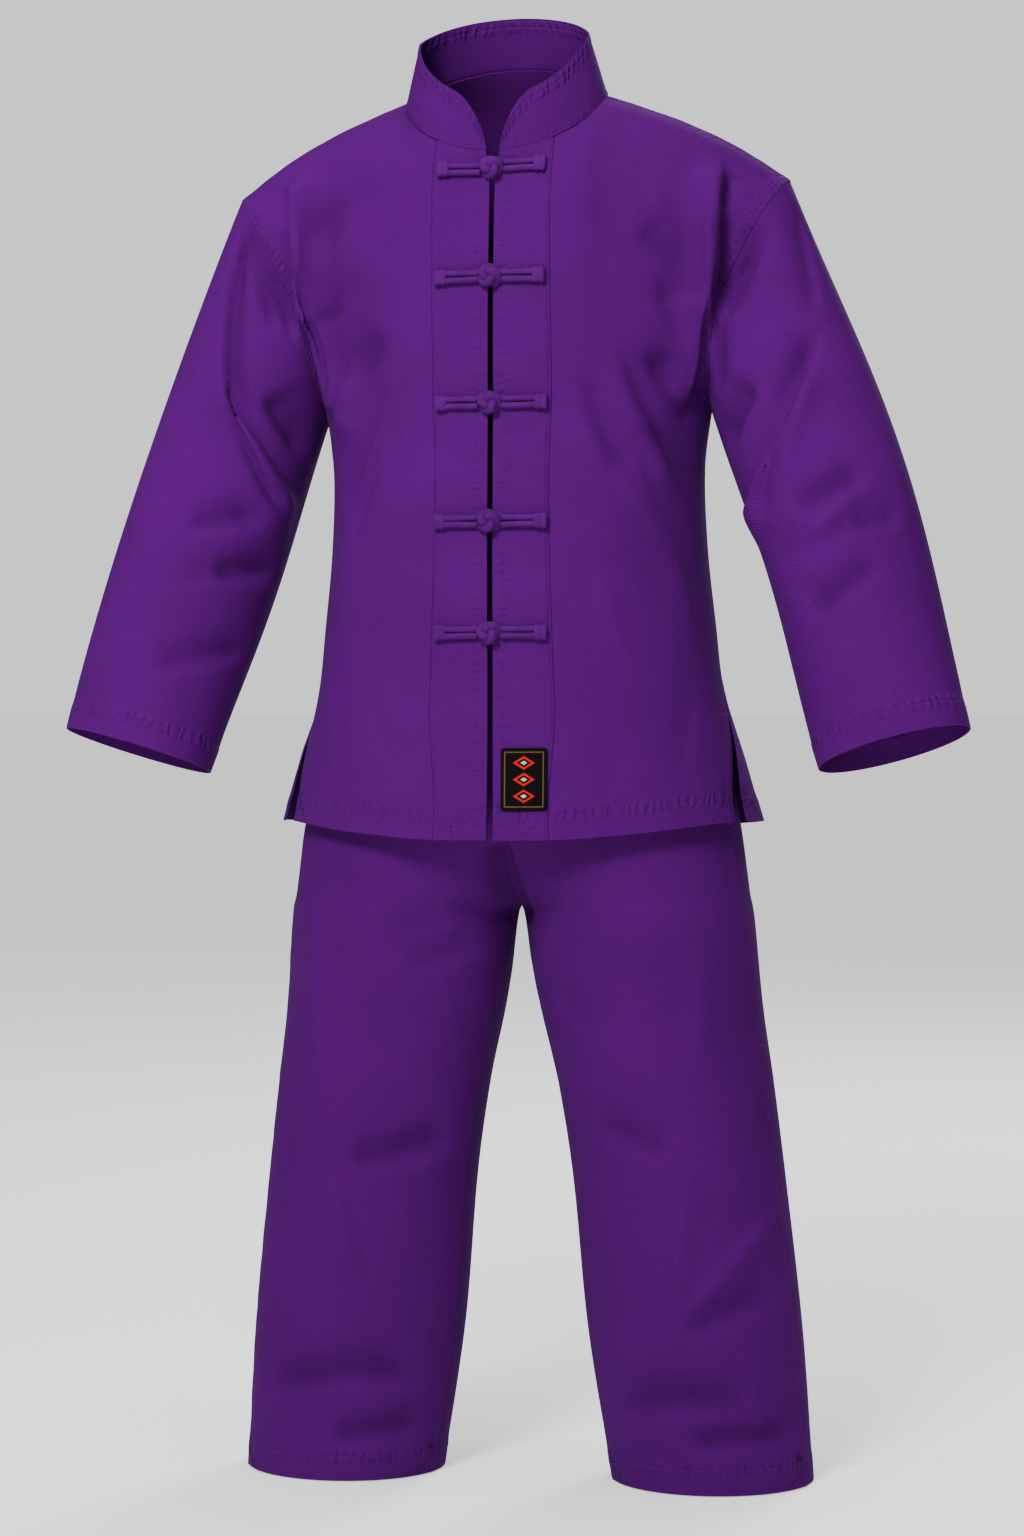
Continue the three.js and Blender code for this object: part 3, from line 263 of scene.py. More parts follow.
def neckline(face, across):
    angle = np.radians(np.interp(np.clip(across / NECK_SHARE, 0, 1), *NECK_TURN[face]))
    ahead, behind = np.maximum(0, np.cos(angle)), np.maximum(0, -np.cos(angle))
    z = NECK["side_z"] - NECK["front_drop"] * ahead ** NECK["front_curve"]
    z += NECK["back_rise"] * behind ** NECK["back_curve"]
    return vec(NECK["half_width"] * np.sin(angle), NECK["centre_y"] - NECK["half_depth"] * np.cos(angle), z)


def shoulder(across):
    out = np.clip((across - NECK_SHARE) / (1 - NECK_SHARE), 0, 1)
    drop = SHOULDER_DROP * out + (NECK["side_z"] - TIP[2] - SHOULDER_DROP) * out**3
    x, y = mix(NECK["half_width"], TIP[0], out), mix(NECK["centre_y"], TIP[1], out)
    return vec(x, y, NECK["side_z"] - drop)


def armhole(face, up):
    forward, inward = ARMHOLE[face]
    swell, rise = np.sin(np.pi * up), (1 - np.cos(np.pi * up)) / 2
    from_ = body_ring(face, np.ones_like(up), np.full_like(up, UNDERARM_Z))
    return vec(mix(from_[..., 0], TIP[0], rise) + inward * swell**2,
               mix(from_[..., 1], TIP[1], rise) + forward * swell, mix(from_[..., 2], TIP[2], rise))


def chest_curve(face, across, up):
    start = body_ring(face, across, np.full_like(across, UNDERARM_Z))
    end = np.where((across <= NECK_SHARE)[..., None], neckline(face, across), shoulder(across))
    length = end[..., 2] - start[..., 2]
    lean = ease(across / NECK_SHARE)
    over, rise = (mix(*CHEST_END[face][key], lean) for key in ("over", "rise"))
    up = up[..., None]
    curve = (2 * up**3 - 3 * up**2 + 1) * start + (3 * up**2 - 2 * up**3) * end
    curve += (up**3 - 2 * up**2 + up) * vec(0, 0, CHEST_START * length)
    return curve + (up**3 - up**2) * vec(0, over * length, rise * length)


def upper_body(face, across, up):
    to_seam = armhole(face, up) - chest_curve(face, np.ones_like(across), up)
    return chest_curve(face, across, up) + to_seam * across[..., None] ** ARMHOLE_PULL


def lower_body(face, across, up):
    hem = HEM_Z + HEM_RISE * ease(across) ** 2
    return body_ring(face, across, mix(hem, UNDERARM_Z, up))


def cuff_point(angle):
    side, front = math.radians(CUFF["side_tilt"]), math.radians(CUFF["front_tilt"])
    wide, deep = -CUFF["half_width"] * np.cos(angle), CUFF["half_depth"] * np.sin(angle)
    return vec(CUFF["x"] + math.cos(side) * wide, CUFF["y"] - math.cos(front) * deep,
               CUFF["z"] + math.sin(side) * wide + math.sin(front) * deep)


def sleeve_point(name, down, around):
    seam = np.where((around <= 1)[..., None], armhole("front", np.minimum(around, 1)),
                    armhole("back", 2 - np.maximum(around, 1)))
    ends = armhole("front", np.array([0.0, 1.0]))
    middle = mix(ends.mean(axis=0), np.array([CUFF["x"], CUFF["y"], CUFF["z"]]), down[..., None])
    point = mix(seam, cuff_point(np.pi * around), down[..., None])
    outer = (1 - np.cos(np.pi * around)) / 2
    swell = np.maximum(np.sin(np.pi * down), 0)
    puff = mix(*SLEEVE_PUFF, outer) * swell ** mix(*SLEEVE_CURVE, outer)
    outward = unit(point - middle)
    point[..., 0] += ELBOW_OUT[name] * swell**2
    return point + outward * puff[..., None]


def collar_point(base, front, up):
    """Points above the neckline's points: the collar leans in, and its front corners are round."""
    from_edge = np.where(front, np.abs(base[..., 0]) - NECK_EDGE_X, COLLAR["corner"])
    share = np.clip(from_edge / COLLAR["corner"], 0, 1) ** COLLAR["corner_curve"]
    corner = mix(COLLAR["edge_share"], 1, np.sin(np.pi / 2 * share))
    rise = up * corner
    height = COLLAR["height"] + COLLAR["side_extra"] * (base[..., 0] / NECK["half_width"]) ** 2
    y = NECK["centre_y"] + (base[..., 1] - NECK["centre_y"]) * (1 - COLLAR["lean_front"] * rise)
    return vec(base[..., 0] * (1 - COLLAR["lean_side"] * rise), y - COLLAR["forward"] * rise,
               base[..., 2] + height * rise)


def trouser_point(face, across, z):
    down = np.clip((RISE_TOP_Z - z) / (RISE_TOP_Z - CROTCH_Z), 0, 1)
    leg_share = 1 - np.sqrt(1 - down**2)
    side = math.radians(SIDE_TURN) * ease((WAIST_Z - z) / (WAIST_Z - CROTCH_Z))
    inner = math.radians(INSEAM_TURN) * ease((CROTCH_Z - z) / TURN_LENGTH)
    seam = np.pi / 2 - side
    hip_angle = across * seam if face == "front" else np.pi - across * (np.pi - seam)
    hip_depth = np.where(np.cos(hip_angle) > 0, between(HIP, "front", z), between(HIP, "back", z))
    leg_angle = mix(inner, np.pi - side if face == "front" else -np.pi - side, across)
    inside = np.where(z < CROTCH_Z, between(LEG, "inner", z), 0)
    outside = between(LEG, "outer", z)
    leg_depth = np.where(np.sin(leg_angle) > 0, between(LEG, "front", z), between(LEG, "back", z))
    near = ease((z - CROTCH_Z + NOTCH_LENGTH) / NOTCH_LENGTH) * (1 + np.cos(leg_angle))
    notch = NOTCH / 2 * np.abs(np.sin(leg_angle)) * near
    leg_x = (inside + outside) / 2 - (outside - inside) / 2 * np.cos(leg_angle) + notch
    leg_y = -between(LEG, "forward", z) - leg_depth * np.sin(leg_angle)
    return vec(mix(between(HIP, "side", z) * np.sin(hip_angle), leg_x, leg_share),
               mix(-hip_depth * np.cos(hip_angle), leg_y, leg_share), z)


# The share of a fold's width that its steep side keeps, with a steep side of its own and without, how much
# of a plain fold's length its ends fade over, and how much wider a plain trough is than its row says.
STEEPNESS, SOFT_STEEPNESS, TAPER, WIDEN = 0.34, 0.42, 0.28, 1.4
# How much deeper folds and creases are than their rows say, and the depth at which the painted shade in a
# hollow is darkest.
FOLD_SHARE, CREASE_SHARE = 1.2, 1.7
DEEPEST = 13.0
# A fold shows on cloth that faces its view by more than the first value, and fully after the second.
FACING_FROM, FACING_FADE = 0.05, 0.5
# Points this near each other are one, and so panels share their seams.
WELD = 0.05
# The rows below and above the underarm over which the evening out sets in, its rounds and its step.
RELAX = {"below": 8, "above": 12, "rounds": 50, "step": 0.5}


def fold_height(points, normals, folds):
    """How far each point moves out for a table of folds. A fold without a steep side of its own is a
    little sharper under a trough and over a ridge, as in cloth that sags."""
    total = np.zeros(len(points))
    for view, x1, z1, x2, z2, bow, width, height, fade, steep in zip(*folds.values()):
        facing = ease((normals[:, 1] * view - FACING_FROM) / FACING_FADE)
        dx, dz = x2 - x1, z2 - z1
        length = math.hypot(dx, dz)
        px, pz = points[:, 0] - x1, points[:, 2] - z1
        along = (px * dx + pz * dz) / length**2
        inside = np.clip(along, 0, 1)
        bend = bow * 4 * inside * (1 - inside)
        across = (pz * dx - px * dz) / length - bend
        side, sharp = (steep, STEEPNESS) if steep else (np.sign(dx * height), SOFT_STEEPNESS)
        across = np.where(across * side > 0, across / sharp, across)
        away = np.hypot(across, (along - inside) * length)
        taper = fade or (0 if steep else TAPER)
        ends = ease(np.minimum(inside, 1 - inside) / taper) if taper else 1
        reach = width * (WIDEN if height < 0 and not steep else 1)
        total += height * facing * ends * np.exp(-((away / reach) ** 2))
    return total


class Garment:
    """Panels over one welded surface, so that pieces which meet share their seams."""

    def __init__(self):
        self.grids = {}

    def add(self, name, points, flip):
        self.grids[name] = {"points": points, "flip": flip}

    def weld(self):
        """Lists every point once, and gives each grid the numbers of its points."""
        flat = np.concatenate([g["points"].reshape(-1, 3) for g in self.grids.values()])
        _, first, ids = np.unique(np.round(flat / WELD), axis=0, return_index=True, return_inverse=True)
        self.points = flat[first]
        ids, start = ids.reshape(-1), 0
        for grid in self.grids.values():
            count = grid["points"].shape[0] * grid["points"].shape[1]
            grid["ids"] = ids[start:start + count].reshape(grid["points"].shape[:2])
            start += count

    def normals(self):
        """Outward directions, smooth across the seams."""
        total = np.zeros_like(self.points)
        for grid in self.grids.values():
            ids = grid["ids"]
            corners = [ids[:-1, :-1], ids[:-1, 1:], ids[1:, 1:], ids[1:, :-1]]
            a, b, c, d = (self.points[k] for k in corners)
            normal = unit(np.cross(c - a, d - b)) * (-1 if grid["flip"] else 1)
            for k in corners:
                np.add.at(total, k.reshape(-1), normal.reshape(-1, 3))
        return unit(total)

    def fold(self, folds, creases):
        """Moves the cloth along its normals, and keeps how far each point has gone in, which sets the painted
        shade in the hollows.
        """
        self.hollow = np.zeros(len(self.points))
        for rows, share in ((folds, FOLD_SHARE), (creases, CREASE_SHARE)):
            normals = self.normals()
            moved = share * fold_height(self.points, normals, rows)
            self.hollow -= moved
            self.points = self.points + normals * moved[:, None]

    def finish(self):
        """Gives each grid its points, its normals and its share of the darkest painted shade in the hollows.
        """
        normals = self.normals()
        for grid in self.grids.values():
            grid["points"], grid["normals"] = self.points[grid["ids"]], normals[grid["ids"]]
            grid["hollow"] = np.clip(self.hollow[grid["ids"]] / DEEPEST, 0, 1)


def lengths(points, axis):
    """Arc length along one way of a grid, from its first row or column."""
    steps = np.linalg.norm(np.diff(points, axis=axis), axis=-1)
    first = np.zeros_like(np.take(steps, [0], axis=axis))
    return np.cumsum(np.concatenate([first, steps], axis=axis), axis=axis)


def relax(points):
    """Evens out a body panel from a little below the underarm upwards, with its edges held."""
    first = len(LOWER_UP) - RELAX["below"]
    share = ease((np.arange(points.shape[0]) - first) / (RELAX["below"] + RELAX["above"]))
    weight = share[1:-1, None, None] * RELAX["step"]
    for _ in range(RELAX["rounds"]):
        middle = (points[:-2, 1:-1] + points[2:, 1:-1] + points[1:-1, :-2] + points[1:-1, 2:]) / 4
        points[1:-1, 1:-1] += (middle - points[1:-1, 1:-1]) * weight
    return points


# How finely the cloth is divided.
BADGE_COLUMNS, BADGE_ROWS = 29, 37
BAND_COLUMNS = 16
NECK_COLUMNS = 32
SHOULDER_COLUMNS = 48
WAISTBAND_ROWS = 12
ACROSS = np.concatenate([np.linspace(0, BAND_SHARE, BAND_COLUMNS + 1),
                         np.linspace(BAND_SHARE, NECK_SHARE, NECK_COLUMNS - BAND_COLUMNS + 1)[1:],
                         np.linspace(NECK_SHARE, 1, SHOULDER_COLUMNS + 1)[1:]])
LOWER_UP = np.linspace(0, 1, 85)
UPPER_UP = np.linspace(0, 1, 65)
SLEEVE_DOWN = np.linspace(0, 1, 113)
COLLAR_UP = np.linspace(0, 1, 13)
LEG_ACROSS = np.linspace(0, 1, 49)
LEG_Z = np.concatenate([np.linspace(BAND_BOTTOM_Z, CROTCH_Z, 57),
                        np.linspace(CROTCH_Z, LEG_HEM_Z, 113)[1:]])


def body_grid(face, side):
    """Points of half a front or back, from the hem up to the neck and shoulder and from its middle out."""
    across, lower = np.meshgrid(ACROSS, LOWER_UP)
    low = lower_body(face, across, lower)
    across, upper = np.meshgrid(ACROSS, UPPER_UP[1:])
    points = np.concatenate([low, upper_body(face, across, upper)])
    if face == "front":
        edge, z = points[:, :1, 0], points[:, :1, 2]
        near_neck = ease((z - OPENING["neck_z"]) / OPENING["neck_fade"])
        near_hem = OPENING["hem_share"] * ease((OPENING["hem_z"] - z) / OPENING["hem_fade"])
        wide = mix(OPENING["half_gap"], edge, np.maximum(near_neck, near_hem))
        points[..., 0] -= (edge - wide) * np.clip(1 - ACROSS / BAND_SHARE, 0, 1) ** 2
    points[..., 0] *= side
    return points


def make_jacket():
    jacket = Garment()
    for name, side in (("left", 1), ("right", -1)):
        jacket.add(f"jacket_front_{name}", relax(body_grid("front", side)), side < 0)
    back = np.concatenate([body_grid("back", -1)[:, :0:-1], body_grid("back", 1)], axis=1)
    jacket.add("jacket_back", relax(back), True)
    for name, side in (("left", 1), ("right", -1)):
        around, down = np.meshgrid(np.concatenate([UPPER_UP, 1 + UPPER_UP[1:]]), SLEEVE_DOWN)
        points = sleeve_point(name, down, around)
        points[..., 0] *= side
        jacket.add(f"jacket_sleeve_{name}", points, side > 0)
    front, back = (neckline(face, ACROSS[:NECK_COLUMNS + 1]) for face in ("front", "back"))
    mirror = np.array([-1, 1, 1])
    base = np.concatenate([front * mirror, back[-2::-1] * mirror, back[1:], front[-2::-1]])
    is_front = np.ones(len(base), bool)
    is_front[NECK_COLUMNS + 1:-NECK_COLUMNS - 1] = False
    up = np.repeat(COLLAR_UP[:, None], len(base), axis=1)
    base = np.repeat(base[None], len(COLLAR_UP), axis=0)
    jacket.add("jacket_collar", collar_point(base, is_front, up), True)
    jacket.weld()
    jacket.fold(JACKET_FOLDS, JACKET_CREASES)
    jacket.finish()
    return jacket


def make_trousers():
    trousers = Garment()
    band_z = np.linspace(BAND_BOTTOM_Z, WAIST_Z, WAISTBAND_ROWS + 1)
    band = []
    for name, side in (("left", 1), ("right", -1)):
        for face in ("front", "back"):
            across, z = np.meshgrid(LEG_ACROSS, LEG_Z)
            points = trouser_point(face, across, z)
            points[..., 0] *= side
            trousers.add(f"trouser_{face}_{name}", points, (face == "front") == (side > 0))
            across, z = np.meshgrid(LEG_ACROSS, band_z)
            points = trouser_point(face, across, z)
            points[..., 0] *= side
            band.append(points)
    left_front, left_back, right_front, right_back = band
    ring = [left_front, left_back[:, -2::-1], right_back[:, 1:], right_front[:, -2::-1]]
    trousers.add("trouser_waistband", np.concatenate(ring, axis=1), False)
    trousers.weld()
    trousers.fold(TROUSER_FOLDS, TROUSER_CREASES)
    trousers.finish()
    return trousers


MADE = {}


def garments():
    """Every panel's grid, worked out once."""
    if not MADE:
        MADE["jacket"], MADE["trousers"] = make_jacket(), make_trousers()
    return {**MADE["jacket"].grids, **MADE["trousers"].grids}


def band_grid(side):
    """The strip of a front panel that its band lies on."""
    grid = garments()[f"jacket_front_{side}"]
    strip = {key: grid[key][:, :BAND_COLUMNS + 1] for key in ("points", "normals", "hollow")}
    return {**strip, "flip": grid["flip"]}


# How far a band lies above the cloth and a stitch above both, and the share of a step that a stitch takes.
BAND_GAP, STITCH_LIFT, STITCH_SHARE = 0.1, 0.05, 0.7
# The distance that stands for no seam near, and how far two seams are apart before puckers are full.
FAR_SEAM, SEAM_GAP = 60, 7
# The raised cloth ends this far past a seam, over this width.
RISE_PAST, RISE_FADE = 3, 5
# Pucker waves along a seam: two wave lengths, the slow drift of the first, and their height.
PUCKER = {"long": 8.9, "short": 5.3, "sway": 1.7, "drift": 31, "height": 0.22}
# A shell's edge: how far it stays from its seam, the extra row beside it, how round it is, and how thick
# it is where it is sewn down.
EDGE = {"gap": 0.2, "row": 0.6, "round": 0.35, "pressed": 0.15}

# Seams: the panel, the edge that a seam follows, how far in its middle lies, half the distance of its
# paired lines, how strong its puckers are, how far they reach and how far the cloth rises at the edge.
# Edges are first or last row or column; "part" is the share of the edge that it follows.
SEAM_COLUMNS = ("panel", "edge", "part", "offset", "pair", "pucker", "reach", "rise")
FRONT_ROWS = len(LOWER_UP) + len(UPPER_UP) - 2
UNDERARM = (len(LOWER_UP) - 1) / FRONT_ROWS
SLIT = 0.19
SEAMS = [dict(zip(SEAM_COLUMNS, row)) for row in [
    ("jacket_front", "first_row", (0, 1), 24.5, 0, 1.0, 16, 0.8),
    ("jacket_front", "last_column", (UNDERARM, 1), 6.5, 2.2, 1.0, 12, 0.6),
    ("jacket_front", "last_column", (0, SLIT), 9, 0, 0.4, 9, 0.3),
    ("jacket_front", "last_row", (0.4, 1), 3, 0, 0.5, 7, 0.4),
    ("jacket_back", "first_row", (0, 1), 24.5, 0, 1.0, 16, 0.8),
    ("jacket_back", "last_column", (UNDERARM, 1), 6.5, 2.2, 1.0, 12, 0.6),
    ("jacket_back", "first_column", (UNDERARM, 1), 6.5, 2.2, 1.0, 12, 0.6),
    ("jacket_back", "last_column", (0, SLIT), 9, 0, 0.4, 9, 0.3),
    ("jacket_back", "first_column", (0, SLIT), 9, 0, 0.4, 9, 0.3),
    ("jacket_sleeve", "last_row", (0, 1), 24.5, 0, 1.0, 14, 0.8),
    ("jacket_collar", "first_row", (0, 1), 1.6, 0, 0.3, 5, 0.9),
    ("jacket_collar", "last_row", (0, 1), 7.5, 0, 1.1, 9, 0.5),
    ("trouser_front", "last_row", (0, 1), 24.5, 0, 1.0, 14, 0.8),
    ("trouser_back", "last_row", (0, 1), 24.5, 0, 1.0, 14, 0.8),
    ("trouser_front", "last_column", (0, 1), 4, 2, 0.6, 8, 0.4),
    ("trouser_front", "first_column", (0, 1), 4, 2, 0.6, 8, 0.4),
    ("trouser_waistband", "first_row", (0, 1), 3, 0, 0.8, 8, 0.3),
    ("trouser_waistband", "last_row", (0, 1), 4, 0, 0.8, 8, 0.3),
    ("front_band", "last_column", (0, 1), 2.5, 0, 0.1, 4, 0),
    ("front_band", "first_column", (0, 1), 11, 0, 0.5, 7, 0.2),
    ("front_band", "first_row", (0, 1), 24.5, 0, 0.9, 14, 0.7),
]]


def within(part, count):
    """Which of an edge's points lie in a part of it."""
    share = np.arange(count) / (count - 1)
    return (share >= part[0]) & (share <= part[1])


def seam_fields(points, seam):
    """Distance from the seam's edge, length along it, and whether the seam runs there."""
    rows, columns = points.shape[:2]
    down, over = lengths(points, 0), lengths(points, 1)
    if seam["edge"].endswith("row"):
        away = down if seam["edge"] == "first_row" else down[-1:] - down
        edge = over[0] if seam["edge"] == "first_row" else over[-1]
        along = np.repeat(edge[None], rows, axis=0)
        runs = np.repeat(within(seam["part"], columns)[None], rows, axis=0)
    else:
        away = over if seam["edge"] == "first_column" else over[:, -1:] - over
        edge = down[:, 0] if seam["edge"] == "first_column" else down[:, -1]
        along = np.repeat(edge[:, None], columns, axis=1)
        runs = np.repeat(within(seam["part"], rows)[:, None], columns, axis=1)
    return away, along, runs


def own_seams(name):
    """The seams that are sewn on a panel."""
    return [s for s in SEAMS if name.startswith(s["panel"])]


def seam_attribute(name, points):
    """For each point: signed distance to the nearest sewn line's middle, length along it, and the pair's
    half distance. The second value is the pucker strength, which fades where two seams are as near."""
    shape = points.shape[:2]
    best, second = np.full(shape, float(FAR_SEAM)), np.full(shape, float(FAR_SEAM))
    data, strength = np.zeros(shape + (3,)), np.zeros(shape)
    data[..., 0] = FAR_SEAM
    for seam in own_seams(name):
        away, along, runs = seam_fields(points, seam)
        signed = away - seam["offset"]
        nearer = runs & (np.abs(signed) < best)
        second = np.where(runs, np.minimum(second, np.maximum(np.abs(signed), best)), second)
        best = np.where(nearer, np.abs(signed), best)
        data[nearer] = np.stack([signed, along, np.full_like(along, seam["pair"])], axis=-1)[nearer]
        strength[nearer] = seam["pucker"]
    return data, strength * ease((second - best) / SEAM_GAP)


def raise_seams(name, points, normals):
    """The turned or pressed cloth beside each seam stands a little proud, with long soft puckers."""
    moved = np.zeros(points.shape[:2])
    for number, seam in enumerate(own_seams(name)):
        away, along, runs = seam_fields(points, seam)
        reach = seam["offset"] + seam["pair"]
        raised = seam["rise"] * ease((reach + RISE_PAST - away) / RISE_FADE)
        sway = PUCKER["sway"] * np.sin(along / PUCKER["drift"] + number)
        wave = np.sin(along / PUCKER["short"] + sway) + np.sin(along / PUCKER["long"] + number)
        near = np.exp(-(((away - seam["offset"]) / seam["reach"]) ** 2))
        moved += np.where(runs, raised + PUCKER["height"] * seam["pucker"] * wave * near, 0)
    return points + normals * moved[..., None]


def held_edges(points, normals):
    """Adds a row and a column close to each edge, so that only the edge itself looks round."""
    for axis in (0, 1):
        count = points.shape[axis]
        first, second = points.take([0], axis), points.take([1], axis)
        last, before = points.take([count - 1], axis), points.take([count - 2], axis)
        inside = points.take(range(1, count - 1), axis)
        points = np.concatenate([first, first + unit(second - first) * EDGE["row"], inside,
                                 last + unit(before - last) * EDGE["row"], last], axis=axis)
        ends = normals.take([0], axis), normals.take([count - 1], axis)
        normals = np.concatenate([ends[0], normals, ends[1]], axis=axis)
    return points, normals


def edge_inset(points, amount):
    """Draws a grid's outermost rows and columns inwards."""
    out = points.copy()
    out[0] += unit(points[1] - points[0]) * amount
    out[-1] += unit(points[-2] - points[-1]) * amount
    out[:, 0] += unit(points[:, 1] - points[:, 0]) * amount
    out[:, -1] += unit(points[:, -2] - points[:, -1]) * amount
    return out


def outline(shape):
    """The points round the edge of a grid with that many rows and columns, in order."""
    rows, columns = shape
    ids = np.arange(rows * columns).reshape(shape)
    return np.concatenate([ids[0, :-1], ids[:-1, -1], ids[-1, :0:-1], ids[:0:-1, 0]])


def new_object(name, vertices, faces, uv=None, attributes=None):
    mesh = bpy.data.meshes.new(name)
    mesh.from_pydata((np.asarray(vertices) * MM).tolist(), [], faces)
    mesh.polygons.foreach_set("use_smooth", [True] * len(mesh.polygons))
    if uv is not None:
        corner = np.empty(len(mesh.loops), dtype=np.int32)
        mesh.loops.foreach_get("vertex_index", corner)
        layer = mesh.uv_layers.new(name="cloth")
        layer.data.foreach_set("uv", np.asarray(uv, np.float32)[corner].reshape(-1))
    for key, (kind, values) in (attributes or {}).items():
        layer = mesh.attributes.new(key, kind, "POINT")
        layer.data.foreach_set("vector" if kind == "FLOAT_VECTOR" else "value",
                               np.asarray(values, np.float32).reshape(-1))
    mesh.validate()
    mesh.update()
    obj = bpy.data.objects.new(name, mesh)
    bpy.context.scene.collection.objects.link(obj)
    return obj


def grid_quads(shape):
    """Faces of one side of a grid with that many rows and columns."""
    ids = np.arange(shape[0] * shape[1]).reshape(shape)
    return np.stack([ids[:-1, :-1], ids[:-1, 1:], ids[1:, 1:], ids[1:, :-1]], axis=-1).reshape(-1, 4)


def shell_faces(shape, flip):
    """Faces of a shell's outer side, its inner side, and the two strips that join them at the rim."""
    quads = grid_quads(shape)
    if flip:
        quads = quads[:, ::-1]
    under = shape[0] * shape[1]
    rim = outline(shape)
    here = np.arange(len(rim))
    after = np.roll(here, -1)
    start, end = (here, after) if flip else (after, here)
    first, second = rim[start], rim[end]
    rim_first, rim_second = start + 2 * under, end + 2 * under
    outer_strip = np.stack([second, first, rim_first, rim_second], axis=-1)
    inner_strip = np.stack([rim_second, rim_first, first + under, second + under], axis=-1)
    return np.concatenate([quads, quads[:, ::-1] + under, outer_strip, inner_strip])


def shell_values(values, shape):
    """A grid's values for a shell's outer side, its inner side and its rim."""
    flat = values.reshape((shape[0] * shape[1],) + values.shape[2:])
    return np.concatenate([flat, flat, flat[outline(shape)]])


def cloth_shell(name, grid, low, high, pressed=False):
    """A closed thin shell over a panel's grid, with round edges, and its last column pressed thin where
    it is sewn down. Also returns its greatest width and length and its area, in metres."""
    points, normals = held_edges(grid["points"], grid["normals"])
    points = raise_seams(name, points, normals)
    seam, pull = seam_attribute(name, points)
    points = edge_inset(points, EDGE["gap"])
    shape = points.shape[:2]
    height = np.full(shape + (1,), float(high))
    if pressed:
        height[:, -2:] = low + EDGE["pressed"]
    outer, inner = points + normals * height, points + normals * low
    outward = unit(points - edge_inset(points, 1.0))
    middle = (outer + inner) / 2 + outward * (high - low) * EDGE["round"]
    vertices = np.concatenate([each.reshape(-1, 3) for each in (outer, inner)]
                              + [middle.reshape(-1, 3)[outline(shape)]])
    over, down = lengths(points, 1), lengths(points, 0)
    uv = np.stack([over - over[:, shape[1] // 2][:, None], down], axis=-1) * MM
    # How deep each point lies in a fold's hollow, which the material turns into painted shade.
    hollow = np.pad(grid["hollow"], 1, mode="edge")
    obj = new_object(name, vertices, shell_faces(shape, grid["flip"]).tolist(), shell_values(uv, shape),
                     {"seam": ("FLOAT_VECTOR", shell_values(seam, shape)),
                      "pucker": ("FLOAT", shell_values(pull, shape)),
                      "hollow": ("FLOAT", shell_values(hollow, shape))})
    slants = points[1:, 1:] - points[:-1, :-1], points[1:, :-1] - points[:-1, 1:]
    area = np.linalg.norm(np.cross(*slants), axis=-1).sum() / 2
    size = (float(over[:, -1].max()) * MM, float(down[-1].max()) * MM, float(area) * MM * MM)
    return obj, size


# Materials. A finish is its roughness, its sheen and its specular level.
FINISHES = {"cloth": (0.85, 0.015, 0.04), "braid": (0.75, 0.02, 0.08), "thread": (0.6, 0.05, 0.15),
            "badge": (0.75, 0.0, 0.08), "floor": (0.9, 0.0, 0.3)}
SHEEN_ROUGHNESS, SHEEN_TINT = 0.45, (0.62, 0.38, 0.9, 1)
# How fine the cloth's textures are, for each metre: broad unevenness, soft bumps, yarn specks and ribs.
UNEVEN_SCALE, SOFT_SCALE, YARN_SCALE, RIB_SCALE = 9.0, 55.0, 420.0, 165.0
CORD_UNEVEN_SCALE, CORD_FUZZ_SCALE, THREAD_SCALE = 60.0, 700.0, 300.0
TWILL_ANGLE = 45
# How much of each tone shows at most: dark yarn specks, painted shade in the hollows of folds, a painted
# highlight along each sewn line, painted shade in each sewn line's groove, and darker twill ribs.
SPECKS, HOLLOW_SHADE, SEAM_HIGHLIGHT, GROOVE_SHADE, RIBS = 0.26, 0.3, 0.16, 0.22, 0.3
# How far each layer of the cloth stands up, in millimetres.
RELIEF = {"ribs": -0.14, "yarn": 0.06, "soft": 0.55, "pucker": 1.5, "groove": -0.35}
# Puckers: how often they come along a seam, how far noise shifts them, and how noise stretches there.
RIPPLE, RIPPLE_SHIFT, RIPPLE_ALONG, RIPPLE_ACROSS = 0.72, 16.0, 0.05, 0.03
# The badge's design, in millimetres: its line and its lozenges, and the colours of the sewn threads.
DESIGN = {"line_in": 4.0, "line_half": 0.55, "half_step": 8.0, "steps_off": 80.0, "slope": 0.62,
          "field_half": 24.0, "sizes": (6.6, 4.2, 2.0), "thread_scale": 0.7, "thread_shade": 0.35}
GOLD_BROWN, RED = (0.16, 0.09, 0.03, 1), (0.75, 0.002, 0.004, 1)
OFF_WHITE, BETWEEN_THREADS = (0.7, 0.68, 0.66, 1), (0.004, 0.003, 0.004, 1)


def node(tree, kind, **values):
    made = tree.nodes.new(kind)
    for key, value in values.items():
        setattr(made, key, value)
    return made


def math_node(tree, operation, a, b=None, c=None):
    made = node(tree, "ShaderNodeMath", operation=operation)
    for socket, value in zip(made.inputs, (a, b, c)):
        if value is None:
            continue
        if isinstance(value, (int, float)):
            socket.default_value = value
        else:
            tree.links.new(value, socket)
    return made.outputs[0]


def noise(tree, vector, scale, detail=2.0, rough=0.5):
    made = node(tree, "ShaderNodeTexNoise")
    tree.links.new(vector, made.inputs["Vector"])
    made.inputs["Scale"].default_value = scale
    made.inputs["Detail"].default_value = detail
    made.inputs["Roughness"].default_value = rough
    return made.outputs["Fac"]


def smooth_range(tree, value, low, high, to_low, to_high):
    made = node(tree, "ShaderNodeMapRange", interpolation_type="SMOOTHSTEP")
    tree.links.new(value, made.inputs["Value"])
    for key, number in zip(("From Min", "From Max", "To Min", "To Max"), (low, high, to_low, to_high)):
        made.inputs[key].default_value = number
    return made.outputs["Result"]


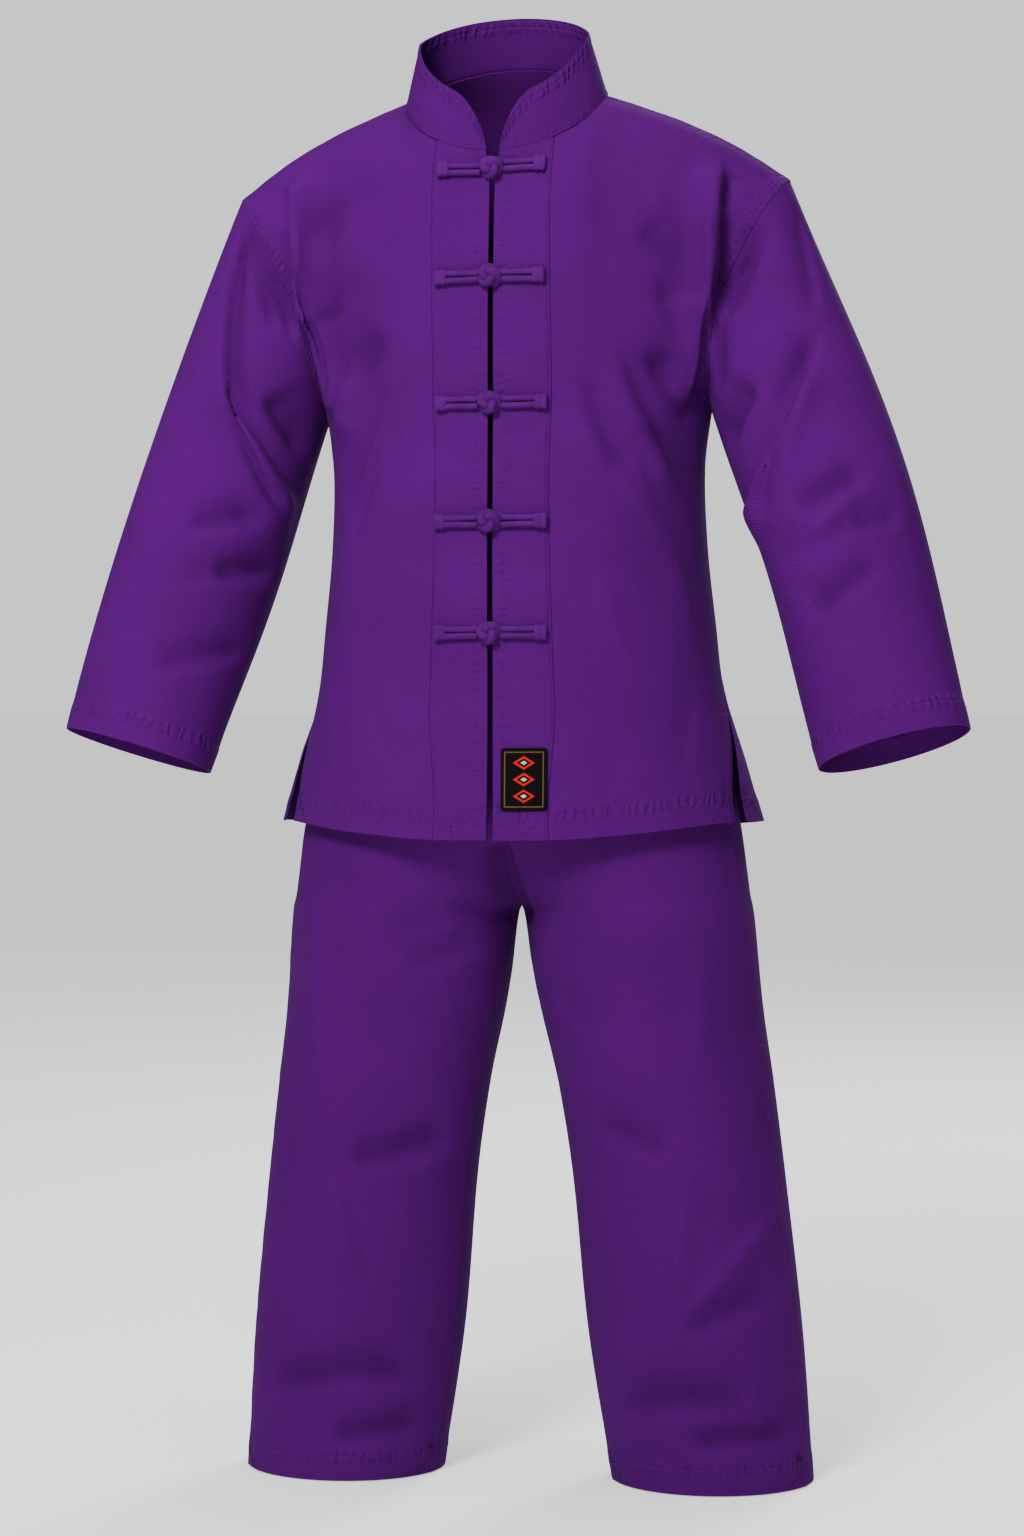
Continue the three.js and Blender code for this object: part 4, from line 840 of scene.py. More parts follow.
def colour_mix(tree, factor, a, b):
    made = node(tree, "ShaderNodeMix", data_type="RGBA")
    for socket, value in ((made.inputs[0], factor), (made.inputs[6], a), (made.inputs[7], b)):
        if isinstance(value, (int, float, tuple)):
            socket.default_value = value
        else:
            tree.links.new(value, socket)
    return made.outputs[2]


def principled(name, finish):
    roughness, sheen, specular = FINISHES[finish]
    made = bpy.data.materials.new(name)
    made.use_nodes = True
    tree = made.node_tree
    shader = tree.nodes["Principled BSDF"]
    shader.inputs["Roughness"].default_value = roughness
    shader.inputs["Specular IOR Level"].default_value = specular
    shader.inputs["Sheen Weight"].default_value = sheen
    shader.inputs["Sheen Roughness"].default_value = SHEEN_ROUGHNESS
    return made, tree, shader


def shade(colour, share):
    """A share of a colour's brightness, with full alpha."""
    return tuple(min(1, c * share) for c in colour) + (1,)


def woven_tone(tree, colour, place):
    """Yarn colour with broad unevenness and dark specks, and painted shade that darkens the hollows of the
    folds.
    """
    broad = noise(tree, place, UNEVEN_SCALE, 3.0)
    yarn = noise(tree, place, YARN_SCALE, 2.0, 0.7)
    hollow = node(tree, "ShaderNodeAttribute", attribute_name="hollow").outputs["Fac"]
    uneven = smooth_range(tree, broad, 0.3, 0.7, 0.0, 1.0)
    tone = colour_mix(tree, uneven, shade(colour, 0.93), shade(colour, 1.06))
    tone = colour_mix(tree, smooth_range(tree, yarn, 0.25, 0.75, 0.0, SPECKS), tone, shade(colour, 0.55))
    # Painted shade: the cloth is darkened where the folds have pushed it in.
    tone = colour_mix(tree, smooth_range(tree, hollow, 0.0, 1.0, 0.0, HOLLOW_SHADE), tone, shade(colour, 0.3))
    return tone, yarn


def seam_marks(tree):
    """From a panel's seam attribute: the groove of each sewn line, whose mask also paints shade into it, a
    painted highlight along the line, and puckers.
    """
    split = node(tree, "ShaderNodeSeparateXYZ")
    seam = node(tree, "ShaderNodeAttribute", attribute_name="seam").outputs["Vector"]
    tree.links.new(seam, split.inputs[0])
    across, along, pair = (split.outputs[key] for key in "XYZ")
    away = math_node(tree, "ABSOLUTE", across)
    off_line = math_node(tree, "ABSOLUTE", math_node(tree, "SUBTRACT", away, pair))
    # The groove's mask, which shapes the bump and also paints shade into the groove.
    groove = smooth_range(tree, off_line, 0.25, 1.5, 1.0, 0.0)
    # The painted highlight's mask: full on the sewn line, gone 2.4 mm from it.
    seam_highlight = math_node(tree, "MULTIPLY", smooth_range(tree, off_line, 0.4, 2.4, 1.0, 0.0), SEAM_HIGHLIGHT)
    beside = node(tree, "ShaderNodeCombineXYZ")
    tree.links.new(math_node(tree, "MULTIPLY", along, RIPPLE_ALONG), beside.inputs[0])
    tree.links.new(math_node(tree, "MULTIPLY", across, RIPPLE_ACROSS), beside.inputs[1])
    wander = noise(tree, beside.outputs[0], 1.0, 2.0, 0.6)
    steps = math_node(tree, "MULTIPLY", along, RIPPLE)
    phase = math_node(tree, "MULTIPLY_ADD", wander, RIPPLE_SHIFT, steps)
    ripple = math_node(tree, "MULTIPLY_ADD", math_node(tree, "SINE", phase), 0.5, 0.5)
    ripple = math_node(tree, "MULTIPLY", ripple, smooth_range(tree, wander, 0.35, 0.6, 0.35, 1.0))
    near = math_node(tree, "MULTIPLY", ripple, smooth_range(tree, away, 2.5, 9.0, 1.0, 0.0))
    pull = node(tree, "ShaderNodeAttribute", attribute_name="pucker").outputs["Fac"]
    return groove, seam_highlight, math_node(tree, "MULTIPLY", near, pull)


def twill_ribs(tree, weave):
    """Fine slanting ribs over a panel's own UV map, at an angle in degrees."""
    turned = node(tree, "ShaderNodeMapping")
    tree.links.new(node(tree, "ShaderNodeUVMap", uv_map="cloth").outputs["UV"], turned.inputs["Vector"])
    turned.inputs["Rotation"].default_value = (0, 0, math.radians(weave))
    ribs = node(tree, "ShaderNodeTexWave", wave_type="BANDS", bands_direction="X")
    tree.links.new(turned.outputs[0], ribs.inputs["Vector"])
    ribs.inputs["Scale"].default_value = RIB_SCALE
    ribs.inputs["Distortion"].default_value = 1.5
    ribs.inputs["Detail"].default_value = 1.0
    return ribs.outputs["Fac"]


def add_bump(tree, shader, height, strength, distance):
    bump = node(tree, "ShaderNodeBump")
    bump.inputs["Strength"].default_value = strength
    bump.inputs["Distance"].default_value = distance
    tree.links.new(height, bump.inputs["Height"])
    tree.links.new(bump.outputs[0], shader.inputs["Normal"])


def cloth_material(name, colour, weave):
    """Cotton twill whose ribs run at the weave's angle to the panel's length."""
    made, tree, shader = principled(name, "cloth")
    shader.inputs["Sheen Tint"].default_value = SHEEN_TINT
    place = node(tree, "ShaderNodeTexCoord").outputs["Object"]
    tone, yarn = woven_tone(tree, colour, place)
    groove, seam_highlight, pucker = seam_marks(tree)
    ribs = twill_ribs(tree, weave)
    # Painted highlight: the cloth along each sewn line is made lighter.
    tone = colour_mix(tree, seam_highlight, tone, shade(colour, 1.7))
    # Painted shade: the cloth is darkened in the groove of each sewn line.
    tone = colour_mix(tree, math_node(tree, "MULTIPLY", groove, GROOVE_SHADE), tone, shade(colour, 0.4))
    tone = colour_mix(tree, math_node(tree, "MULTIPLY", ribs, RIBS), tone, shade(colour, 0.45))
    tree.links.new(tone, shader.inputs["Base Color"])
    soft = noise(tree, place, SOFT_SCALE, 3.0, 0.55)
    height = math_node(tree, "MULTIPLY", ribs, RELIEF["ribs"])
    for layer, key in ((yarn, "yarn"), (soft, "soft"), (pucker, "pucker"), (groove, "groove")):
        height = math_node(tree, "MULTIPLY_ADD", layer, RELIEF[key], height)
    add_bump(tree, shader, height, 1.0, MM)
    return made


def braid_material(name, colour):
    """Matt cotton cord, with a fine fuzz."""
    made, tree, shader = principled(name, "braid")
    place = node(tree, "ShaderNodeTexCoord").outputs["Object"]
    fuzz = noise(tree, place, CORD_FUZZ_SCALE, 2.0, 0.7)
    broad = noise(tree, place, CORD_UNEVEN_SCALE, 2.0)
    uneven = smooth_range(tree, broad, 0.3, 0.7, 0.0, 1.0)
    tone = colour_mix(tree, uneven, shade(colour, 0.86), shade(colour, 1.1))
    tone = colour_mix(tree, smooth_range(tree, fuzz, 0.3, 0.8, 0.0, 0.3), tone, shade(colour, 0.5))
    tree.links.new(tone, shader.inputs["Base Color"])
    add_bump(tree, shader, math_node(tree, "ADD", fuzz, broad), 0.6, MM * 0.3)
    return made


def thread_material(name, colour):
    made, tree, shader = principled(name, "thread")
    place = node(tree, "ShaderNodeTexCoord").outputs["Object"]
    tone = colour_mix(tree, noise(tree, place, THREAD_SCALE), shade(colour, 0.8), shade(colour, 1.3))
    tree.links.new(tone, shader.inputs["Base Color"])
    return made


def badge_material(name, colour):
    """Black embroidered ground, a gold-brown line inside the edge, and a row of plain lozenges."""
    made, tree, shader = principled(name, "badge")
    uv = node(tree, "ShaderNodeUVMap", uv_map="cloth").outputs["UV"]
    split = node(tree, "ShaderNodeSeparateXYZ")
    tree.links.new(uv, split.inputs[0])
    x, y = (math_node(tree, "ABSOLUTE", split.outputs[key]) for key in "XY")
    to_side = math_node(tree, "SUBTRACT", BADGE["width"] / 2, x)
    to_end = math_node(tree, "SUBTRACT", BADGE["height"] / 2, y)
    inside = math_node(tree, "MINIMUM", to_side, to_end)
    line = math_node(tree, "COMPARE", inside, DESIGN["line_in"], DESIGN["line_half"])
    up = math_node(tree, "ADD", split.outputs["Y"], DESIGN["steps_off"])
    row = math_node(tree, "PINGPONG", up, DESIGN["half_step"])
    lozenge = math_node(tree, "MULTIPLY_ADD", x, DESIGN["slope"], row)
    field = math_node(tree, "LESS_THAN", y, DESIGN["field_half"])
    outer, ring, heart = (math_node(tree, "MULTIPLY", math_node(tree, "LESS_THAN", lozenge, size), field)
                          for size in DESIGN["sizes"])
    threads = node(tree, "ShaderNodeTexWave", wave_type="BANDS", bands_direction="Y")
    tree.links.new(uv, threads.inputs["Vector"])
    threads.inputs["Scale"].default_value = DESIGN["thread_scale"]
    threads.inputs["Distortion"].default_value = 0.6
    tone = colour_mix(tree, line, shade(colour, 1), GOLD_BROWN)
    for share, over in ((outer, RED), (ring, shade(colour, 1)), (heart, OFF_WHITE)):
        tone = colour_mix(tree, share, tone, over)
    dark = math_node(tree, "MULTIPLY", threads.outputs["Fac"], DESIGN["thread_shade"])
    tree.links.new(colour_mix(tree, dark, tone, BETWEEN_THREADS), shader.inputs["Base Color"])
    add_bump(tree, shader, math_node(tree, "ADD", threads.outputs["Fac"], outer), 0.7, MM * 0.4)
    return made


def material(key):
    """Each material is made once, from the colours in the panel."""
    name = "uniform_" + key
    if name in bpy.data.materials:
        return bpy.data.materials[name]
    colours = bpy.context.scene.uniform_colours
    if key in ("jacket", "trousers"):
        return cloth_material(name, tuple(getattr(colours, key)), TWILL_ANGLE)
    if key == "band":
        return cloth_material(name, tuple(colours.jacket), -TWILL_ANGLE)
    if key == "braid":
        return braid_material(name, tuple(colours.braid))
    if key == "thread":
        return thread_material(name, tuple(colours.thread))
    return badge_material(name, tuple(colours.badge))


def dress(obj, key, replaced):
    obj.data.materials.append(material(key))
    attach(obj, "root")
    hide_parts(replaced)


# Cord work: how finely the cords, the tabs and the knots are divided.
CORD_RINGS, CORD_SIDES, TAB_SIDES, STRAND_RINGS, CORE_RINGS = 22, 12, 20, 91, 9


def tube(path, radius, around):
    """Rings along an open or closed path: vertices and faces, with flat ends when open."""
    path = np.asarray(path, float)
    closed = np.allclose(path[0], path[-1])
    if closed:
        path = path[:-1]
    ahead = np.roll(path, -1, axis=0) - np.roll(path, 1, axis=0)
    if not closed:
        ahead[0], ahead[-1] = path[1] - path[0], path[-1] - path[-2]
    ahead = unit(ahead)
    out = np.tile(np.array([0.0, -1.0, 0.0]), (len(path), 1))
    side = unit(np.cross(ahead, out))
    out = unit(np.cross(side, ahead))
    angle = np.linspace(0, 2 * np.pi, around, endpoint=False)
    radius = np.broadcast_to(np.asarray(radius, float), (len(path),))[:, None, None]
    rings = path[:, None] + radius * (np.cos(angle)[None, :, None] * side[:, None]
                                      + np.sin(angle)[None, :, None] * out[:, None])
    count = len(path)
    ids = np.arange(count * around).reshape(count, around)
    right = np.roll(ids, -1, axis=1)
    if closed:
        below, below_right = np.roll(ids, -1, axis=0), np.roll(right, -1, axis=0)
        faces = np.stack([ids, right, below_right, below], axis=-1).reshape(-1, 4).tolist()
    else:
        faces = np.stack([ids[:-1], right[:-1], right[1:], ids[1:]], axis=-1).reshape(-1, 4).tolist()
        faces += [ids[0, ::-1].tolist(), ids[-1].tolist()]
    return rings.reshape(-1, 3), faces


def joined(parts):
    """One list of vertices and one of faces from several."""
    vertices, faces, start = [], [], 0
    for points, quads in parts:
        vertices.append(points)
        faces += [[i + start for i in quad] for quad in quads]
        start += len(points)
    return np.concatenate(vertices), faces


# How many points of the cloth a point that lies on it is placed by.
NEAREST = 9


def over_front(grid, x, z, lift):
    """Points over a front panel at the given x and z, lifted along the cloth's normal. Each stands on a
    plane laid through the nearest points of the panel."""
    columns = slice(0, BAND_COLUMNS * 2 + 1)
    flat, ways = (grid[key][:, columns].reshape(-1, 3) for key in ("points", "normals"))
    x, z, lift = (np.atleast_1d(np.asarray(v, float)) for v in np.broadcast_arrays(x, z, lift))
    away = (flat[None, :, 0] - x[:, None]) ** 2 + (flat[None, :, 2] - z[:, None]) ** 2
    near = np.argsort(away, axis=1)[:, :NEAREST]
    ox, oz = flat[near][..., 0] - x[:, None], flat[near][..., 2] - z[:, None]
    weight = 1 / (ox**2 + oz**2 + 1.0)
    normal = unit((ways[near] * weight[..., None]).sum(axis=1))
    depth = np.empty(len(x))
    for i in range(len(x)):
        design = np.stack([np.ones(near.shape[1]), ox[i], oz[i]], axis=1) * np.sqrt(weight[i])[:, None]
        depth[i] = np.linalg.lstsq(design, flat[near[i]][:, 1] * np.sqrt(weight[i]), rcond=None)[0][0]
    return vec(x, depth, z) + normal * lift[:, None]


class UniformSizes(bpy.types.PropertyGroup):
    cloth: bpy.props.FloatProperty(name="Cloth", description="Thickness of the cloth shell",
                                   default=0.0016, unit="LENGTH")
    band: bpy.props.FloatProperty(name="Band", description="Thickness of the front bands' extra layer",
                                  default=0.0012, unit="LENGTH")
    cord: bpy.props.FloatProperty(name="Cord", description="Diameter of one frog cord",
                                  default=0.0062, unit="LENGTH")
    stitch: bpy.props.FloatProperty(name="Stitch", description="Length from one stitch to the next",
                                    default=0.0032, unit="LENGTH")
    thread: bpy.props.FloatProperty(name="Thread", description="Thickness of the sewing thread",
                                    default=0.0005, unit="LENGTH")


class UniformColours(bpy.types.PropertyGroup):
    jacket: bpy.props.FloatVectorProperty(name="Jacket", description="Colour of the jacket's cotton",
                                          subtype="COLOR", size=3, default=(0.07, 0.0003, 0.124))
    trousers: bpy.props.FloatVectorProperty(name="Trousers", description="Colour of the trousers' cotton",
                                            subtype="COLOR", size=3, default=(0.065, 0.0003, 0.116))
    braid: bpy.props.FloatVectorProperty(name="Braid", description="Colour of the frog cords and knots",
                                         subtype="COLOR", size=3, default=(0.064, 0.0003, 0.115))
    thread: bpy.props.FloatVectorProperty(name="Thread", description="Colour of the sewing thread",
                                          subtype="COLOR", size=3, default=(0.075, 0.0005, 0.132))
    badge: bpy.props.FloatVectorProperty(name="Badge", description="Ground colour of the badge",
                                         subtype="COLOR", size=3, default=(0.003, 0.002, 0.003))


class UNIFORM_OT_jacket(bpy.types.Operator):
    """Makes the jacket's fronts, back, sleeves and collar"""
    bl_idname = "uniform.jacket"
    bl_label = "Jacket panels"

    def execute(self, context):
        half = context.scene.uniform_sizes.cloth / MM / 2
        grids = garments()
        for name in [n for n in grids if n.startswith("jacket")]:
            thick = COLLAR["thickness"] if name == "jacket_collar" else 1.0
            obj, size = cloth_shell(name, grids[name], -half * thick, half * thick)
            dress(obj, "jacket", name)
        return {"FINISHED"}


class UNIFORM_OT_trousers(bpy.types.Operator):
    """Makes the trousers' fronts, backs and waistband"""
    bl_idname = "uniform.trousers"
    bl_label = "Trouser panels"

    def execute(self, context):
        half = context.scene.uniform_sizes.cloth / MM / 2
        grids = garments()
        for name in [n for n in grids if n.startswith("trouser")]:
            obj, size = cloth_shell(name, grids[name], -half, half)
            dress(obj, "trousers", name)
        return {"FINISHED"}


class UNIFORM_OT_bands(bpy.types.Operator):
    """Makes the sewn-on front bands beside the opening"""
    bl_idname = "uniform.bands"
    bl_label = "Front bands"

    def execute(self, context):
        sizes = context.scene.uniform_sizes
        low = sizes.cloth / MM / 2 + BAND_GAP
        for name in ("left", "right"):
            piece = f"front_band_{name}"
            obj, size = cloth_shell(piece, band_grid(name), low, low + sizes.band / MM, pressed=True)
            dress(obj, "band", piece)
        return {"FINISHED"}


class UNIFORM_OT_frogs(bpy.types.Operator):
    """Makes the five frog fastenings: paired cords, folded tabs and knot buttons"""
    bl_idname = "uniform.frogs"
    bl_label = "Frog fastenings"

    def cords(self, name, number, side, radius):
        grid = garments()[f"jacket_front_{name}"]
        z0 = FROG_HEIGHTS[number]
        tilt = FROG["top_tilt"] if number == 0 else 0
        reach = np.linspace(FROG["cord_start"], FROG["tab_start"] + FROG["overlap"], CORD_RINGS)
        parts = []
        for up in (-1, 1):
            phase = reach / FROG["wander_length"] + number * FROG["wander_step"] + up
            wander = FROG["wander"] * np.sin(phase)
            z = z0 + up * (radius + FROG["half_gap"]) + tilt * side + wander
            path = over_front(grid, side * reach, z, FROG["lift"] + radius * FROG["sunk"])
            parts.append(tube(path, radius, CORD_SIDES))
        parts.append(self.tab(grid, z0 + tilt * side, side))
        piece = f"frog_{number + 1}_cords_{name}"
        dress(new_object(piece, *joined(parts)), "braid", piece)

    def tab(self, grid, z0, side):
        """The cords' ends turned under and bound by a short folded sleeve of cloth."""
        reach = np.linspace(FROG["tab_start"] - TAB["overlap"], FROG["end"], len(TAB["swell"]))
        angle = np.linspace(0, 2 * np.pi, TAB_SIDES, endpoint=False)
        rings = []
        for x, scale in zip(reach, TAB["swell"]):
            up = np.sign(np.cos(angle)) * np.abs(np.cos(angle)) ** TAB["height_curve"] * scale
            out = np.sign(np.sin(angle)) * np.abs(np.sin(angle)) ** TAB["depth_curve"] * scale
            up, out = TAB["half_height"] * up, TAB["half_depth"] * out
            rings.append(over_front(grid, side * x, z0 + up, TAB["lift"] + out))
        rings = np.array(rings)
        if side < 0:
            rings = rings[::-1]
        ids = np.arange(rings.shape[0] * TAB_SIDES).reshape(-1, TAB_SIDES)
        right = np.roll(ids, -1, axis=1)
        faces = np.stack([right[:-1], right[1:], ids[1:], ids[:-1]], axis=-1).reshape(-1, 4).tolist()
        return rings.reshape(-1, 3), faces + [ids[0, ::-1].tolist(), ids[-1].tolist()]

    def knot(self, number, radius):
        """A closed strand that winds over and under itself, round a plain core."""
        grid = garments()["jacket_front_left"]
        centre = over_front(grid, NECK_EDGE_X, FROG_HEIGHTS[number], KNOT["lift"])[0]
        centre[0] = 0
        turn = math.radians(KNOT["turns"][number])
        t = np.linspace(0, 2 * np.pi, STRAND_RINGS)
        rho = KNOT["radius"] + KNOT["lobe"] * np.cos(3 * t)
        x, z = rho * np.cos(2 * t), rho * np.sin(2 * t) * KNOT["squash"]
        y = -KNOT["swing"] * np.sin(3 * t) - KNOT["dome"] * (1 - (rho - KNOT["inner"]) / KNOT["span"])
        strand = np.stack([x * math.cos(turn) - z * math.sin(turn), y,
                           x * math.sin(turn) + z * math.cos(turn)], axis=-1)
        strand[-1] = strand[0]
        share = np.linspace(-1, 1, CORE_RINGS)
        core = np.stack([share * KNOT["core_half"], np.zeros(CORE_RINGS), np.zeros(CORE_RINGS)], axis=-1)
        core_radius = np.sqrt(np.maximum(KNOT["core_tip"], 1 - share**2)) * KNOT["core_radius"]
        parts = [tube(strand + centre, radius * KNOT["strand"], CORD_SIDES),
                 tube(core + centre, core_radius, CORD_SIDES)]
        piece = f"frog_{number + 1}_knot"
        dress(new_object(piece, *joined(parts)), "braid", piece)

    def execute(self, context):
        radius = context.scene.uniform_sizes.cord / MM / 2
        for number in range(len(FROG_HEIGHTS)):
            self.cords("left", number, 1, radius)
            self.cords("right", number, -1, radius)
            self.knot(number, radius)
        return {"FINISHED"}


class UNIFORM_OT_badge(bpy.types.Operator):
    """Makes the embroidered badge near the left front hem"""
    bl_idname = "uniform.badge"
    bl_label = "Badge"

    def round_corners(self, x, z):
        """Draws the points near the badge's corners in onto a small round."""
        corner = BADGE["corner"]
        over_x = np.maximum(np.abs(x) - (BADGE["width"] / 2 - corner), 0)
        over_z = np.maximum(np.abs(z) - (BADGE["height"] / 2 - corner), 0)
        both = (over_x > 0) & (over_z > 0)
        shrink = np.where(both, np.maximum(over_x, over_z) / np.maximum(np.hypot(over_x, over_z), 1e-6), 1)
        x = np.where(both, np.sign(x) * (BADGE["width"] / 2 - corner + over_x * shrink), x)
        z = np.where(both, np.sign(z) * (BADGE["height"] / 2 - corner + over_z * shrink), z)
        return x, z

    def execute(self, context):
        grid = garments()["jacket_front_left"]
        across, up = np.meshgrid(np.linspace(-1, 1, BADGE_COLUMNS), np.linspace(-1, 1, BADGE_ROWS))
        x, z = self.round_corners(across * BADGE["width"] / 2, up * BADGE["height"] / 2)
        rim = ease((1 - np.maximum(np.abs(across), np.abs(up))) / BADGE["rim_share"])
        place = (BADGE["x"] + x).ravel(), (BADGE["z"] + z).ravel()
        front = over_front(grid, *place, (BADGE["high"] + BADGE["crown"] * rim).ravel())
        under = over_front(grid, *place, np.full(x.size, BADGE["low"]))
        quads, edge = grid_quads(x.shape), outline(x.shape)
        after = np.roll(edge, -1)
        walls = np.stack([edge, edge + x.size, after + x.size, after], axis=-1)
        faces = np.concatenate([quads, quads[:, ::-1] + x.size, walls])
        uv = np.stack([x.ravel(), z.ravel()], axis=-1)
        obj = new_object("badge", np.concatenate([front, under]), faces.tolist(), np.concatenate([uv, uv]))
        dress(obj, "badge", "badge")
        return {"FINISHED"}


def stitch_lines(name, grid, lift):
    """Sewn lines over a panel, as separate runs of points on the cloth's outer side."""
    lines = []
    points = raise_seams(name, grid["points"], grid["normals"]) + grid["normals"] * lift
    for seam in own_seams(name):
        away, _, runs = seam_fields(points, seam)
        cloth = points
        if seam["edge"].endswith("column"):
            away, cloth, runs = away.T, points.transpose(1, 0, 2), runs.T
        if seam["edge"].startswith("last"):
            away, cloth = away[::-1], cloth[::-1]
        for sign in ((-1, 1) if seam["pair"] else (0,)):
            offset = seam["offset"] + sign * seam["pair"]
            lines.append(np.array([[np.interp(offset, away[:, column], cloth[:, column, axis])
                                    for axis in range(3)] for column in np.flatnonzero(runs[0])]))
    return lines


def stitch_tree():
    """Geometry Nodes that set a small thread stitch at even steps along every sewn line."""
    tree = bpy.data.node_groups.new("uniform_stitches", "GeometryNodeTree")
    face = tree.interface
    face.new_socket("Geometry", in_out="INPUT", socket_type="NodeSocketGeometry")
    for name, default in (("Step", 0.0032), ("Length", 0.0022), ("Thread", 0.0005)):
        socket = face.new_socket(name, in_out="INPUT", socket_type="NodeSocketFloat")
        socket.default_value = default
    face.new_socket("Material", in_out="INPUT", socket_type="NodeSocketMaterial")
    face.new_socket("Geometry", in_out="OUTPUT", socket_type="NodeSocketGeometry")
    links = tree.links
    start, end = tree.nodes.new("NodeGroupInput"), tree.nodes.new("NodeGroupOutput")
    curve = tree.nodes.new("GeometryNodeMeshToCurve")
    links.new(start.outputs["Geometry"], curve.inputs["Mesh"])
    steps = tree.nodes.new("GeometryNodeResampleCurve")
    steps.mode = "LENGTH"
    links.new(curve.outputs[0], steps.inputs["Curve"])
    links.new(start.outputs["Step"], steps.inputs["Length"])
    tangent = tree.nodes.new("GeometryNodeInputTangent")
    turn = tree.nodes.new("FunctionNodeAlignEulerToVector")
    turn.axis = "X"
    links.new(tangent.outputs[0], turn.inputs["Vector"])
    shape = tree.nodes.new("GeometryNodeMeshUVSphere")
    shape.inputs["Segments"].default_value = 5
    shape.inputs["Rings"].default_value = 4
    shape.inputs["Radius"].default_value = 0.5
    smooth = tree.nodes.new("GeometryNodeSetShadeSmooth")
    links.new(shape.outputs["Mesh"], smooth.inputs[0])
    scale = tree.nodes.new("ShaderNodeCombineXYZ")
    links.new(start.outputs["Length"], scale.inputs[0])
    links.new(start.outputs["Thread"], scale.inputs[1])
    links.new(start.outputs["Thread"], scale.inputs[2])
    place = tree.nodes.new("GeometryNodeInstanceOnPoints")
    links.new(steps.outputs[0], place.inputs["Points"])
    links.new(smooth.outputs[0], place.inputs["Instance"])
    links.new(turn.outputs[0], place.inputs["Rotation"])
    links.new(scale.outputs[0], place.inputs["Scale"])
    real = tree.nodes.new("GeometryNodeRealizeInstances")
    links.new(place.outputs[0], real.inputs[0])
    finish = tree.nodes.new("GeometryNodeSetMaterial")
    links.new(real.outputs[0], finish.inputs[0])
    links.new(start.outputs["Material"], finish.inputs["Material"])
    links.new(finish.outputs[0], end.inputs[0])
    return tree


class UNIFORM_OT_stitching(bpy.types.Operator):
    """Sews every seam, hem and band with a line of thread"""
    bl_idname = "uniform.stitching"
    bl_label = "Stitching"

    def sew(self, context, name, lines, slot):
        sizes = context.scene.uniform_sizes
        vertices, edges = [], []
        for line in lines:
            start = sum(len(v) for v in vertices)
            vertices.append(line)
            edges += [(start + i, start + i + 1) for i in range(len(line) - 1)]
        mesh = bpy.data.meshes.new(name + "_lines")
        mesh.from_pydata((np.concatenate(vertices) * MM).tolist(), edges, [])
        obj = bpy.data.objects.new(name, mesh)
        context.scene.collection.objects.link(obj)
        modifier = obj.modifiers.new("stitches", "NODES")
        modifier.node_group = bpy.data.node_groups.get("uniform_stitches") or stitch_tree()
        values = {"Step": sizes.stitch, "Length": sizes.stitch * STITCH_SHARE, "Thread": sizes.thread,
                  "Material": material("thread")}
        for item in modifier.node_group.interface.items_tree:
            if item.in_out == "INPUT" and item.name in values:
                modifier[item.identifier] = values[item.name]
        context.view_layer.update()
        result = bpy.data.meshes.new_from_object(obj.evaluated_get(context.evaluated_depsgraph_get()))
        obj.modifiers.remove(modifier)
        obj.data = result
        result.name = name
        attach(obj, "root")

    def execute(self, context):
        sizes = context.scene.uniform_sizes
        top = sizes.cloth / MM / 2 + STITCH_LIFT
        lines = {"jacket": [], "trouser": []}
        for name, grid in garments().items():
            lines[name.split("_")[0]] += stitch_lines(name, grid, top)
        for name in ("left", "right"):
            band_top = top + BAND_GAP + sizes.band / MM
            lines["jacket"] += stitch_lines(f"front_band_{name}", band_grid(name), band_top)
        for garment, runs in lines.items():
            self.sew(context, f"{garment}_stitches", runs, f"{garment}_cloth")
        return {"FINISHED"}


# The stage, in metres: a wide pale floor under a pale backdrop that lights the set only a little, a broad
# soft light from above, and three soft lights, each with its place, the point it is aimed at, its width and
# its power.
FLOOR = {"half": 40.0, "below": 0.001, "grey": 0.82, "glow": 0.4}
BACKDROP = {"light": (0.93, 0.94, 1.0, 1), "light_power": 0.13, "seen": (1, 1, 1, 1), "seen_power": 1.05}
ABOVE_POWER, ABOVE_ANGLE = 1.9, 50
LIGHTS = {"key": ((-0.6, -2.9, 1.8), (0, 0, -0.6), 1.2, 190),
          "fill": ((0.3, -3.4, -0.9), (0, 0, -0.9), 1.2, 14),
          "back": ((0.9, 3.1, 1.7), (0, 0, -0.6), 1.4, 120)}
# The camera's turn and roll are in degrees, and its shift in the photo's pixels.
CAMERA = {"turn": 12, "roll": 0.447, "distance": 3.6, "height": -0.55, "lens": 84.4, "shift_x": -8,
          "shift_y": -118, "photo_height": 1536}


